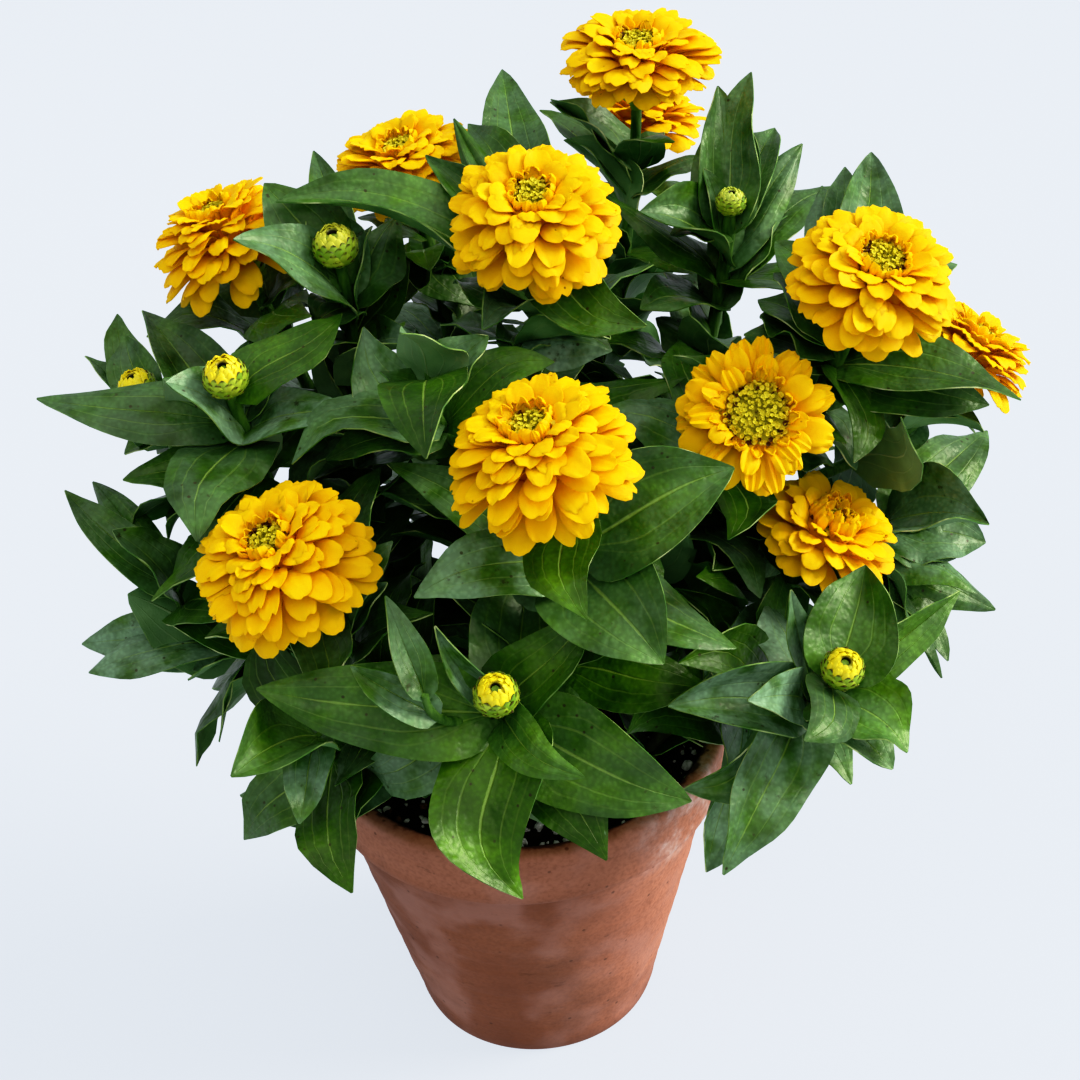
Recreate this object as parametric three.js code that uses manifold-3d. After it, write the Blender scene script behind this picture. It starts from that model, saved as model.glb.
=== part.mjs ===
// Potted zinnia: a terracotta pot of soil with branching leafy stems, eleven yellow blooms and six buds.
// Millimetres, +Z up. The origin is the middle of the pot's base, and the photograph looks along +Y.
import * as THREE from "three";
import { mergeVertices } from "three/addons/utils/BufferGeometryUtils.js";
import Module from "manifold-3d";

const wasm = await Module();
wasm.setup();

const radians = THREE.MathUtils.degToRad;
const { lerp } = THREE.MathUtils;
const point = (x, y, z) => new THREE.Vector3(x, y, z);
const UP = point(0, 0, 1);

// Gap between two pieces that rest against each other
const SEAT = 0.3;

// Clay pot: radii and heights of the plain body, the thick band round its rim, and the floor
const POT = {
  height: 140,
  sides: 26,
  baseRadius: 49.5,
  neckRadius: 74.2,
  bandHeight: 26.5,
  bandFootRadius: 78.4,
  lipOuterRadius: 80,
  lipInnerRadius: 73,
  innerFloorRadius: 43.5,
  floor: 9,
  edge: 1,
  lipEdge: 2,
  drainRadius: 4.5,
  drainCircle: 24,
  drainSides: 8,
  drains: 3,
};

// Soil: height of its top, its drop at the wall, the mound in the middle, its crumbly relief, the depth of
// the stem holes, and the seed of the draws for the relief
const SOIL = { top: 127, edgeDrop: 1.5, mound: 4, crumbs: 1.3, rings: 2, holeDepth: 14, draw: 3 };

// Stems: radius at the foot, at a fork, under a head and at a leafy tip, sides of the section, pieces along
// each length, how far the curve keeps its end directions, and how much the feet splay
const STEM = {
  footRadius: 3.2,
  branchRadius: 2.5,
  headRadius: 2.1,
  tipRadius: 1.26,
  sides: 4,
  steps: 5,
  hold: 0.38,
  splay: 0.004,
};

// The photograph's camera, found from the pot's outline: it turns a place in the picture into a sight line
const CAMERA = { eye: point(11.8, -567.3, 619.6), pitch: 35.1, roll: -3.49, focal: 1900, middle: 540 };

// Blooms: place in the picture, distance back, reach of the petals, height of the dome, hang of the lowest
// petals, radius of the disc, number of petals, and lean of the axis to the right and to the back
const BLOOMS = {
  centre: { see: [543, 462], y: -66, reach: 32, rise: 20, hang: 13, disc: 7.5, petals: 24, lean: [-0.25, -0.15] },
  upper: { see: [533, 224], y: 15, reach: 30.5, rise: 19, hang: 11, disc: 7, petals: 24, lean: [0, -0.42] },
  lower_left: { see: [286, 566], y: -62, reach: 31.5, rise: 19, hang: 12, disc: 7, petals: 24, lean: [-0.32, -0.3] },
  left: { see: [232, 247], y: 62, reach: 30, rise: 19, hang: 14, disc: 6.5, petals: 20, lean: [-0.38, 0.05] },
  back_left: { see: [404, 166], y: 92, reach: 28, rise: 15, hang: 10, disc: 6.5, petals: 18, lean: [-0.2, -0.1] },
  crown: { see: [637, 60], y: 120, reach: 31, rise: 12, hang: 7, disc: 8, petals: 22, lean: [0.02, -0.12] },
  back: { see: [640, 122], y: 172, reach: 27, rise: 13, hang: 8, disc: 7, petals: 16, lean: [0.1, 0.15] },
  right: { see: [873, 283], y: 0, reach: 30, rise: 16, hang: 10, disc: 8, petals: 24, lean: [0.22, -0.38] },
  far_right: { see: [966, 356], y: 34, reach: 25, rise: 14, hang: 10, disc: 7, petals: 16, lean: [0.6, 0.1] },
  inner_right: { see: [755, 416], y: -22, reach: 27.5, rise: 9, hang: 3, disc: 11, petals: 19, lean: [0.05, -1.1] },
  lower_right: { see: [826, 533], y: -12, reach: 28, rise: 11, hang: 7, disc: 8, petals: 19, lean: [0.4, -0.25] },
};

// Buds: place in the picture, distance back, radius, and lean
const BUDS = {
  front: { see: [496, 694], y: -94, radius: 7.6, lean: [0, -0.45] },
  front_right: { see: [843, 668], y: -74, radius: 7.4, lean: [0.12, -0.4] },
  left: { see: [225, 376], y: -8, radius: 7.8, lean: [-0.05, -0.3] },
  far_left: { see: [137, 387], y: 32, radius: 7.4, lean: [-0.25, -0.1] },
  back_left: { see: [335, 245], y: 30, radius: 8, lean: [-0.1, -0.15] },
  back_right: { see: [731, 201], y: 72, radius: 5.6, lean: [0.05, -0.1] },
};

// Shoots: each grows from its own hole in the soil or off another shoot part of the way up, to a bloom, a bud
// or a leafy tip. Shoots of one plant share a node.
const SHOOTS = [
  { name: "centre", plant: "front", soil: [2, -20], bloom: "centre" },
  { name: "front", plant: "front", off: "centre", along: 0.3, bud: "front" },
  { name: "front_side", plant: "front", off: "front", along: 0.62, tip: [425, 695], y: -98 },
  { name: "lower_left", plant: "front_left", soil: [-26, -30], bloom: "lower_left" },
  { name: "low_left", plant: "front_left", off: "lower_left", along: 0.3, tip: [318, 735], y: -74 },
  { name: "left", plant: "left", soil: [-44, -6], bud: "left" },
  { name: "far_left", plant: "left", off: "left", along: 0.42, bud: "far_left" },
  { name: "left_low", plant: "left", off: "left", along: 0.2, tip: [176, 590], y: -10 },
  { name: "left_back", plant: "back_left", soil: [-36, 24], bloom: "left" },
  { name: "back_left", plant: "back_left", off: "left_back", along: 0.45, bud: "back_left" },
  { name: "behind_left", plant: "middle_back", soil: [-14, 32], bloom: "back_left" },
  { name: "upper", plant: "middle", soil: [0, 8], bloom: "upper" },
  { name: "middle_left", plant: "middle", off: "upper", along: 0.42, tip: [428, 372], y: -20 },
  { name: "crown", plant: "back", soil: [16, 40], bloom: "crown" },
  { name: "back", plant: "back", off: "crown", along: 0.45, bloom: "back" },
  { name: "back_right", plant: "back_right", soil: [38, 24], bud: "back_right" },
  { name: "right", plant: "right", soil: [46, -2], bloom: "right" },
  { name: "far_right", plant: "right", off: "right", along: 0.5, bloom: "far_right" },
  { name: "right_low", plant: "right", off: "right", along: 0.3, tip: [884, 520], y: 20 },
  { name: "inner_right", plant: "inner_right", soil: [22, -6], bloom: "inner_right" },
  { name: "lower_right", plant: "front_right", soil: [40, -28], bloom: "lower_right" },
  { name: "front_right", plant: "front_right", off: "lower_right", along: 0.3, bud: "front_right" },
];

// Leaves read in the picture: where the midrib starts and ends, how much nearer the eye the tip is than the
// start, greatest width, arch along the length, roll about the midrib, and fold up from the midrib
const SEEN_LEAVES = [
  // Round the front bud
  { shoot: "front", from: [478, 737], to: [254, 690], nearer: 12, width: 30, arch: 30, roll: -18, fold: 14 },
  { shoot: "front", from: [514, 722], to: [545, 549], nearer: -26, width: 38, arch: 12, roll: 8, fold: 38 },
  { shoot: "front", from: [500, 726], to: [573, 775], nearer: 38, width: 17, arch: 45, roll: 10, fold: 20 },
  { shoot: "front", from: [490, 742], to: [521, 901], nearer: 20, width: 35, arch: 40, roll: 0, fold: 12 },
  { shoot: "front", from: [512, 738], to: [692, 804], nearer: 12, width: 33, arch: 30, roll: 12, fold: 12 },
  { shoot: "front", from: [478, 735], to: [436, 628], nearer: 18, width: 11, arch: -12, roll: 0, fold: 30 },
  { shoot: "front_side", from: [440, 716], to: [350, 666], nearer: 4, width: 13, arch: 30, roll: 0, fold: 22 },
  { shoot: "front_side", from: [432, 700], to: [384, 598], nearer: -6, width: 12, arch: 15, roll: 0, fold: 25 },
  // Round the front right bud
  { shoot: "front_right", from: [822, 728], to: [791, 590], nearer: 20, width: 14, arch: -8, roll: 0, fold: 26 },
  { shoot: "front_right", from: [838, 690], to: [866, 565], nearer: -12, width: 31, arch: 14, roll: 0, fold: 22 },
  { shoot: "front_right", from: [846, 722], to: [960, 591], nearer: -10, width: 17, arch: 20, roll: 14, fold: 24 },
  { shoot: "front_right", from: [838, 718], to: [908, 752], nearer: 20, width: 30, arch: 50, roll: 6, fold: 10 },
  { shoot: "front_right", from: [806, 728], to: [748, 700], nearer: 44, width: 18, arch: 50, roll: 0, fold: 0 },
  { shoot: "front_right", from: [806, 742], to: [668, 706], nearer: 26, width: 24, arch: 60, roll: -5, fold: 20 },
  { shoot: "front_right", from: [802, 790], to: [726, 877], nearer: 30, width: 28, arch: 45, roll: 10, fold: 14 },
  { shoot: "front_right", from: [812, 690], to: [768, 604], nearer: -26, width: 28, arch: 30, roll: 0, fold: 12 },
  // Round the left buds and at the left edge
  { shoot: "left", from: [236, 425], to: [167, 381], nearer: 24, width: 26, arch: 25, roll: -20, fold: 12 },
  { shoot: "left", from: [236, 430], to: [35, 397], nearer: 0, width: 22, arch: 25, roll: -22, fold: 14 },
  { shoot: "left", from: [258, 470], to: [122, 478], nearer: 14, width: 19, arch: 35, roll: -20, fold: 16 },
  { shoot: "left", from: [266, 470], to: [142, 310], nearer: -30, width: 26, arch: 25, roll: 0, fold: 16 },
  { shoot: "left", from: [262, 428], to: [352, 410], nearer: 20, width: 24, arch: 45, roll: 0, fold: 10 },
  { shoot: "left", from: [262, 420], to: [284, 332], nearer: -30, width: 18, arch: 5, roll: 0, fold: 24 },
  { shoot: "far_left", from: [142, 420], to: [116, 313], nearer: -20, width: 16, arch: 10, roll: 0, fold: 20 },
  { shoot: "far_left", from: [140, 440], to: [84, 354], nearer: -16, width: 10, arch: 15, roll: 0, fold: 30 },
  { shoot: "left_low", from: [168, 580], to: [63, 488], nearer: -8, width: 16, arch: 20, roll: -25, fold: 24 },
  { shoot: "left_low", from: [184, 570], to: [93, 482], nearer: -26, width: 16, arch: 40, roll: -20, fold: 22 },
  { shoot: "left_low", from: [190, 596], to: [113, 530], nearer: 22, width: 22, arch: 30, roll: -15, fold: 16 },
  { shoot: "left_low", from: [236, 660], to: [128, 594], nearer: 24, width: 31, arch: 35, roll: -18, fold: 10 },
  { shoot: "left_low", from: [220, 668], to: [82, 644], nearer: -10, width: 22, arch: 30, roll: -25, fold: 10 },
  { shoot: "low_left", from: [316, 738], to: [231, 774], nearer: 36, width: 26, arch: 45, roll: -12, fold: 12 },
  { shoot: "low_left", from: [318, 740], to: [299, 824], nearer: 20, width: 18, arch: 40, roll: 10, fold: 20 },
  { shoot: "lower_left", from: [330, 664], to: [386, 582], nearer: 14, width: 18, arch: 40, roll: 0, fold: 30 },
  // Round the left and back left blooms
  { shoot: "upper", from: [497, 296], to: [291, 167], nearer: 12, width: 31, arch: 40, roll: 14, fold: 12 },
  { shoot: "back_left", from: [350, 310], to: [243, 220], nearer: 40, width: 27, arch: 40, roll: -12, fold: 12 },
  // Round the upper bloom
  { shoot: "upper", from: [480, 260], to: [454, 119], nearer: -24, width: 15, arch: 10, roll: 0, fold: 28 },
  { shoot: "upper", from: [480, 280], to: [426, 150], nearer: -18, width: 15, arch: 15, roll: 0, fold: 24 },
  { shoot: "upper", from: [510, 260], to: [468, 119], nearer: -34, width: 24, arch: 20, roll: 0, fold: 20 },
  { shoot: "upper", from: [515, 250], to: [502, 70], nearer: -62, width: 26, arch: 15, roll: -10, fold: 18 },
  { shoot: "upper", from: [556, 340], to: [610, 338], nearer: 26, width: 28, arch: 30, roll: 0, fold: 10 },
  { shoot: "middle_left", from: [462, 388], to: [404, 330], nearer: 30, width: 24, arch: 25, roll: -10, fold: 20 },
  { shoot: "middle_left", from: [466, 390], to: [488, 336], nearer: 8, width: 20, arch: 15, roll: 0, fold: 16 },
  { shoot: "middle_left", from: [452, 412], to: [380, 372], nearer: 16, width: 18, arch: 30, roll: 0, fold: 14 },
  // Along the top and the upper right
  { shoot: "crown", from: [612, 190], to: [551, 99], nearer: 10, width: 24, arch: 15, roll: 0, fold: 16 },
  { shoot: "back_right", from: [722, 240], to: [751, 72], nearer: -6, width: 26, arch: 10, roll: -30, fold: 16 },
  { shoot: "back_right", from: [732, 240], to: [775, 122], nearer: -34, width: 18, arch: 10, roll: 0, fold: 20 },
  { shoot: "back_right", from: [738, 275], to: [802, 144], nearer: -10, width: 21, arch: 20, roll: 0, fold: 22 },
  { shoot: "back_right", from: [712, 262], to: [640, 212], nearer: 22, width: 28, arch: 45, roll: -10, fold: 14 },
  { shoot: "back_right", from: [712, 312], to: [640, 306], nearer: 22, width: 24, arch: 40, roll: 0, fold: 10 },
  { shoot: "right", from: [840, 330], to: [822, 186], nearer: -34, width: 20, arch: 20, roll: 0, fold: 16 },
  { shoot: "right", from: [856, 320], to: [872, 151], nearer: -40, width: 24, arch: 15, roll: 0, fold: 18 },
  { shoot: "right", from: [846, 372], to: [1021, 400], nearer: 16, width: 26, arch: 35, roll: 12, fold: 14 },
  { shoot: "inner_right", from: [690, 480], to: [592, 548], nearer: 10, width: 34, arch: 20, roll: 12, fold: 10 },
  { shoot: "inner_right", from: [720, 430], to: [676, 352], nearer: 10, width: 20, arch: 40, roll: 60, fold: 30 },
  // Down the right edge
  { shoot: "right", from: [868, 350], to: [957, 264], nearer: -50, width: 22, arch: 15, roll: 0, fold: 18 },
  { shoot: "right_low", from: [880, 500], to: [987, 431], nearer: -36, width: 26, arch: 35, roll: 30, fold: 12 },
  { shoot: "right_low", from: [868, 520], to: [989, 523], nearer: 30, width: 28, arch: 45, roll: 35, fold: 10 },
  { shoot: "right_low", from: [880, 560], to: [975, 593], nearer: 20, width: 22, arch: 40, roll: 40, fold: 10 },
  { shoot: "right_low", from: [876, 590], to: [998, 608], nearer: -4, width: 20, arch: 35, roll: 40, fold: 16 },
  { shoot: "right_low", from: [862, 610], to: [948, 661], nearer: 12, width: 20, arch: 45, roll: 40, fold: 10 },
  // Under the centre bloom
  { shoot: "centre", from: [520, 568], to: [413, 595], nearer: 20, width: 24, arch: 40, roll: -15, fold: 8 },
  { shoot: "centre", from: [566, 570], to: [664, 664], nearer: 22, width: 36, arch: 60, roll: 20, fold: 10 },
  { shoot: "centre", from: [540, 560], to: [735, 465], nearer: 4, width: 34, arch: 25, roll: 25, fold: 12 },
  { shoot: "centre", from: [532, 590], to: [387, 463], nearer: -18, width: 20, arch: 30, roll: -10, fold: 14 },
];

// Leaves set by rule on the rest of each shoot: opposite pairs, each pair square to the last. Lengths and
// distances run along the shoot, angles are in degrees, and each spread is drawn about its middle value.
const PAIRS = {
  spacing: 35.5,
  stagger: 2,
  clearOfSoil: 38,
  clearOfFork: 14.4,
  clearOfHead: 8,
  length: 62,
  shortest: 40,
  lengthSpread: 9,
  shortening: 14,
  widthShare: 0.45,
  lift: 22,
  liftSpread: 16,
  arch: 34,
  archSpread: 16,
  rollSpread: 10,
  fold: 5,
  lowestTip: 158,
  widestTip: 142,
  firstDraw: 7,
};

// Steps by which a leaf turns about its own start until it clears all that belongs to other plants
const TURNS = { step: 8, rounds: 5, directions: 8, lengths: [1, 0.75] };

// Blades: half thickness at the midrib, room kept round each when its place is found, half width at the root,
// and the shares of the length at which the sections of each kind stand
const BLADE = {
  leafHalf: 0.6,
  petalHalf: 0.7,
  room: 0.8,
  rootHalfWidth: 0.7,
  rootShare: 0.015,
  clearShare: 0.1,
  seenShares: [0.24, 0.6],
  ruleShares: [0.32],
  petalShares: [0, 0.6, 1],
  innerPetalShares: [0, 0.9],
};

// Repeatable draws: a linear congruential generator on whole numbers
function drawFrom(seed) {
  let state = seed;
  return () => {
    state = (state * 1664525 + 1013904223) % 4294967296;
    return state / 4294967296;
  };
}

// Direction in space of the sight line through a place in the picture; its length along the view is 1
function sightLine([left, top]) {
  const pitch = radians(CAMERA.pitch);
  const roll = radians(CAMERA.roll);
  const forward = point(0, Math.cos(pitch), -Math.sin(pitch));
  const level = point(1, 0, 0);
  const over = point(0, Math.sin(pitch), Math.cos(pitch));
  const right = level.clone().multiplyScalar(Math.cos(roll)).addScaledVector(over, Math.sin(roll));
  const up = level.clone().multiplyScalar(-Math.sin(roll)).addScaledVector(over, Math.cos(roll));
  return forward
    .addScaledVector(right, (left - CAMERA.middle) / CAMERA.focal)
    .addScaledVector(up, (CAMERA.middle - top) / CAMERA.focal);
}

// Point on a sight line at a given y
function placeAtY(see, y) {
  const line = sightLine(see);
  return CAMERA.eye.clone().addScaledVector(line, (y - CAMERA.eye.y) / line.y);
}

// How far a point is from the eye, along the view
function distanceOf(place) {
  const pitch = radians(CAMERA.pitch);
  return place.clone().sub(CAMERA.eye).dot(point(0, Math.cos(pitch), -Math.sin(pitch)));
}

// Closed mesh through rings of points: each end is a flat cap, or a point
function loft(rings, { startPoint = null, endPoint = null } = {}) {
  const sides = rings[0].length;
  const places = rings.flat();
  const faces = [];
  rings.slice(1).forEach((ring, row) => {
    for (let side = 0; side < sides; side += 1) {
      const next = (side + 1) % sides;
      const [a, b] = [row * sides + side, row * sides + next];
      const [c, d] = [a + sides, b + sides];
      // The diagonal always leaves the even corner, so the two faces of a thin blade split alike
      if (side % 2 === 0) {
        faces.push([a, b, d], [a, d, c]);
      } else {
        faces.push([a, b, c], [b, d, c]);
      }
    }
  });
  const last = (rings.length - 1) * sides;
  if (startPoint) {
    places.push(startPoint);
    for (let side = 0; side < sides; side += 1) faces.push([places.length - 1, (side + 1) % sides, side]);
  } else {
    for (let side = 1; side < sides - 1; side += 1) faces.push([0, side + 1, side]);
  }
  if (endPoint) {
    places.push(endPoint);
    for (let side = 0; side < sides; side += 1) {
      faces.push([places.length - 1, last + side, last + ((side + 1) % sides)]);
    }
  } else {
    for (let side = 1; side < sides - 1; side += 1) faces.push([last, last + side, last + side + 1]);
  }
  return facingOut(places, faces);
}

// Volume inside a closed mesh, below zero where its faces point in
function volumeOf(places, faces) {
  return faces.reduce((sum, [a, b, c]) => sum + places[a].dot(places[b].clone().cross(places[c])) / 6, 0);
}

function facingOut(places, faces) {
  if (volumeOf(places, faces) < 0) faces.forEach((face) => face.reverse());
  return { places, faces };
}

// A shape of places and faces as a solid that can be joined and cut
function solidOf({ places, faces }) {
  const vertProperties = new Float32Array(places.flatMap((place) => place.toArray()));
  const triVerts = new Uint32Array(faces.flat());
  return new wasm.Manifold(new wasm.Mesh({ numProp: 3, vertProperties, triVerts }));
}

// A closed three.js geometry as places and faces, with its shared corners merged
function shapeOf(geometry) {
  geometry.deleteAttribute("normal");
  geometry.deleteAttribute("uv");
  const merged = mergeVertices(geometry, 1e-4);
  const position = merged.attributes.position;
  const places = Array.from({ length: position.count }, (unused, index) =>
    new THREE.Vector3().fromBufferAttribute(position, index),
  );
  const faces = [];
  for (let first = 0; first < merged.index.count; first += 3) {
    const face = [0, 1, 2].map((corner) => merged.index.getX(first + corner));
    if (new Set(face).size === 3) faces.push(face);
  }
  return facingOut(places, faces);
}

function geometryOf(solid) {
  const mesh = solid.getMesh();
  const geometry = new THREE.BufferGeometry();
  geometry.setAttribute("position", new THREE.BufferAttribute(new Float32Array(mesh.vertProperties), 3));
  geometry.setIndex(new THREE.BufferAttribute(new Uint32Array(mesh.triVerts), 1));
  geometry.computeVertexNormals();
  return geometry;
}

// Number of faces too thin, and of corners too near another, to come through a STEP file
const JOIN = { collapse: 0.01, thinnest: 0.005, grid: 0.01, step: 0.06, tries: 12 };

function faultsOf(solid) {
  const { numProp, vertProperties, triVerts } = solid.getMesh();
  const corners = Array.from({ length: vertProperties.length / numProp }, (unused, index) =>
    point(...vertProperties.subarray(index * numProp, index * numProp + 3)),
  );
  const onGrid = (corner) => corner.toArray().map((value) => Math.round(value / JOIN.grid)).join();
  let faults = corners.length - new Set(corners.map(onGrid)).size;
  for (let first = 0; first < triVerts.length; first += 3) {
    const [a, b, c] = [0, 1, 2].map((side) => corners[triVerts[first + side]]);
    const longest = Math.max(a.distanceTo(b), b.distanceTo(c), c.distanceTo(a));
    const twiceArea = b.clone().sub(a).cross(c.clone().sub(a)).length();
    if (twiceArea < JOIN.thinnest * longest) faults += 1;
  }
  return faults;
}

// Two solids joined: where that would leave such faults, the second moves aside by a hair
function addedTo(whole, piece) {
  const allowed = faultsOf(whole);
  const sums = [];
  for (let attempt = 0; attempt < JOIN.tries; attempt += 1) {
    const away = point(Math.cos(attempt), Math.sin(attempt), Math.cos(2 * attempt));
    const shift = away.multiplyScalar(JOIN.step * attempt);
    const sum = whole.add(piece.translate(shift.toArray())).simplify(JOIN.collapse);
    if (faultsOf(sum) <= allowed) return sum;
    sums.push(sum);
  }
  return sums[0];
}

// Solids joined into one body; a scrap that holds on to nothing is dropped
function joined(solids) {
  const whole = solids.reduce((sum, solid) => addedTo(sum, solid));
  const bodies = whole.decompose().sort((a, b) => b.volume() - a.volume());
  return bodies[0];
}

// Shape turned about +Z from a profile of radius and height pairs that starts and ends on the axis
function turned(profile, sides) {
  const outline = profile.map(([radius, height]) => new THREE.Vector2(radius, height));
  return shapeOf(new THREE.LatheGeometry(outline, sides).rotateX(Math.PI / 2));
}

// Frame of a blade, which is a leaf or a petal: its midrib is an arc from start to tip
function bladeFrame(blade) {
  const chord = blade.tip.clone().sub(blade.start);
  const span = chord.length();
  const along = chord.clone().normalize();
  const face = blade.face.clone().addScaledVector(along, -blade.face.dot(along)).normalize();
  face.applyAxisAngle(along, radians(blade.roll));
  const half = radians(blade.arch) / 2 || 1e-6;
  const length = (span * half) / Math.sin(half);
  const first = along.clone().multiplyScalar(Math.cos(half)).addScaledVector(face, Math.sin(half));
  const over = face.clone().multiplyScalar(Math.cos(half)).addScaledVector(along, -Math.sin(half));
  return { first, over, length, turn: half * 2 };
}

// Half width of a leaf or petal at a share of its length, as a share of its greatest half width
const LEAF_OUTLINE = (share) => 2.385 * (share + 0.02) ** 0.45 * (1 - share);
const PETAL_OUTLINE = (share) => {
  const swell = 0.25 + 0.75 * Math.sin((Math.PI / 2) * Math.min(1, share / 0.7));
  return share > 0.7 ? Math.sqrt(1 - ((share - 0.7) / 0.37) ** 2) : swell;
};

// Section of a blade at a share of its length: left edge, top of the rib, right edge, foot of the rib
function bladeSection(blade, frame, share, { halfWidth, half, room = 0 }) {
  const angle = frame.turn * share;
  const run = (frame.length * Math.sin(angle)) / frame.turn;
  const rise = (frame.length * (1 - Math.cos(angle))) / frame.turn;
  const middle = blade.start.clone().addScaledVector(frame.first, run).addScaledVector(frame.over, -rise);
  const [sine, cosine] = [Math.sin(angle), Math.cos(angle)];
  const along = frame.first.clone().multiplyScalar(cosine).addScaledVector(frame.over, -sine);
  const face = frame.first.clone().multiplyScalar(sine).addScaledVector(frame.over, cosine);
  const side = along.clone().cross(face);
  const fold = radians(blade.fold);
  const edge = (sign) =>
    middle
      .clone()
      .addScaledVector(side, sign * (halfWidth + room) * Math.cos(fold))
      .addScaledVector(face, (halfWidth + room) * Math.sin(fold));
  return [
    edge(-1),
    middle.clone().addScaledVector(face, half + room),
    edge(1),
    middle.clone().addScaledVector(face, -half - room),
  ];
}

// A leaf as a thin closed blade; the room grows it on all sides where only its place is being found, and
// that shape starts clear of its own stem
function leafShape(blade, room = 0) {
  const frame = bladeFrame(blade);
  const rootShare = room > 0 ? BLADE.clearShare : BLADE.rootShare;
  const shares = [rootShare, ...(blade.byRule ? BLADE.ruleShares : BLADE.seenShares)];
  const rings = shares.map((share) => {
    const atRoot = share === BLADE.rootShare;
    const halfWidth = atRoot ? BLADE.rootHalfWidth : (blade.width / 2) * LEAF_OUTLINE(share);
    const section = bladeSection(blade, frame, share, { halfWidth, half: BLADE.leafHalf, room });
    return blade.byRule && room === 0 ? section.slice(0, 3) : section;
  });
  const [left, top, right, foot] = bladeSection(blade, frame, 1, { halfWidth: 0, half: 0, room });
  const tip = left.add(top).add(right).add(foot).multiplyScalar(0.25);
  return loft(rings, { endPoint: tip });
}

// A petal as a thin three-edged blade with a blunt end; the short inner ones take one section fewer
function petalShape(blade) {
  const frame = bladeFrame(blade);
  const shares = blade.inner ? BLADE.innerPetalShares : BLADE.petalShares;
  const rings = shares.map((share) => {
    const halfWidth = (blade.width / 2) * PETAL_OUTLINE(share);
    const [left, top, right] = bladeSection(blade, frame, share, { halfWidth, half: BLADE.petalHalf });
    return [left, top, right];
  });
  return loft(rings);
}

// Square rings along a curve, with a radius that tapers evenly from one end to the other
function tubeRings(curve, firstRadius, lastRadius) {
  let across = point(1, 0, 0);
  return Array.from({ length: STEM.steps + 1 }, (unused, step) => {
    const share = step / STEM.steps;
    const along = curve.getTangent(share);
    across = across.clone().addScaledVector(along, -across.dot(along)).normalize();
    const other = along.clone().cross(across);
    const middle = curve.getPoint(share);
    const radius = lerp(firstRadius, lastRadius, share);
    return Array.from({ length: STEM.sides }, (none, side) => {
      const angle = (side * 2 * Math.PI) / STEM.sides;
      return middle
        .clone()
        .addScaledVector(across, radius * Math.cos(angle))
        .addScaledVector(other, radius * Math.sin(angle));
    });
  });
}

// Rings of points round an axis from a profile of radius and height; odd and even points stand out in turn
function roundShape(profile, sides, relief, place, axis) {
  const frame = new THREE.Quaternion().setFromUnitVectors(UP, axis);
  const put = (x, y, z) => point(x, y, z).applyQuaternion(frame).add(place);
  const rings = profile.slice(1, -1).map(([radius, height], row) => {
    const ring = [];
    for (let side = 0; side < sides; side += 1) {
      const angle = ((side + row / 2) * 2 * Math.PI) / sides;
      const out = radius + ((side + row) % 2 ? relief : 0);
      ring.push(put(out * Math.cos(angle), out * Math.sin(angle), height));
    }
    return ring;
  });
  const startPoint = put(0, 0, profile[0][1]);
  const endPoint = put(0, 0, profile.at(-1)[1]);
  return loft(rings, { startPoint, endPoint });
}

// Heads: where each bloom and bud stands, and which way its axis points
const axisFrom = ([right, back]) => point(right, back, 1).normalize();

function placeHeads(table) {
  return Object.fromEntries(
    Object.entries(table).map(([name, head]) => [
      name,
      { ...head, name, place: placeAtY(head.see, head.y), axis: axisFrom(head.lean) },
    ]),
  );
}

const blooms = placeHeads(BLOOMS);
const buds = placeHeads(BUDS);

// Heights along a bloom's axis from its middle: green cup, then the core that the petals stand out of
const CUP = {
  foot: -20,
  footRadius: 2.8,
  sunk: 3,
  waist: -14,
  waistRadius: 5.5,
  top: -8,
  topRadius: 8.5,
  sides: 6,
};
const CORE = {
  foot: CUP.top + SEAT,
  footRadius: 8,
  sides: 7,
  wallRadius: 13.5,
  wallHeight: -1,
  belowDome: 6,
  pastDisc: 1.5,
  rootShare: 0.78,
};

function coreProfile({ rise, disc }) {
  const top = rise - CORE.belowDome;
  const shoulder = disc + CORE.pastDisc;
  const wall = Math.max(CORE.wallRadius, shoulder);
  return [
    [0, CORE.foot],
    [CORE.footRadius, CORE.foot],
    [wall, CORE.wallHeight],
    [shoulder, top],
    [0, top],
  ];
}

// Radius at which a petal's root is well inside the core at a height
function rootRadius(profile, height) {
  const above = Math.max(2, profile.findIndex(([, level]) => level > height));
  const [[lowRadius, low], [highRadius, high]] = [profile[above - 1], profile[above]];
  return CORE.rootShare * lerp(lowRadius, highRadius, (height - low) / (high - low));
}

// Petals in a spiral from the lowest and outermost up to those that stand round the disc. Width and arch run
// from the outermost to the innermost, and the last ones, past innerFrom, are short.
const GOLDEN_ANGLE = radians(137.508);
const LOWEST_PETAL = radians(-25);
const HIGHEST_PETAL = radians(68);
const INNER_SHARE = Math.cos(HIGHEST_PETAL);
const PETAL = {
  width: [15, 10],
  arch: [62, 18],
  fold: -6,
  innerFrom: 0.55,
  clearOfDisc: 6.5,
  lowestRoot: -5,
  highestRoot: -1.5,
};

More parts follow.
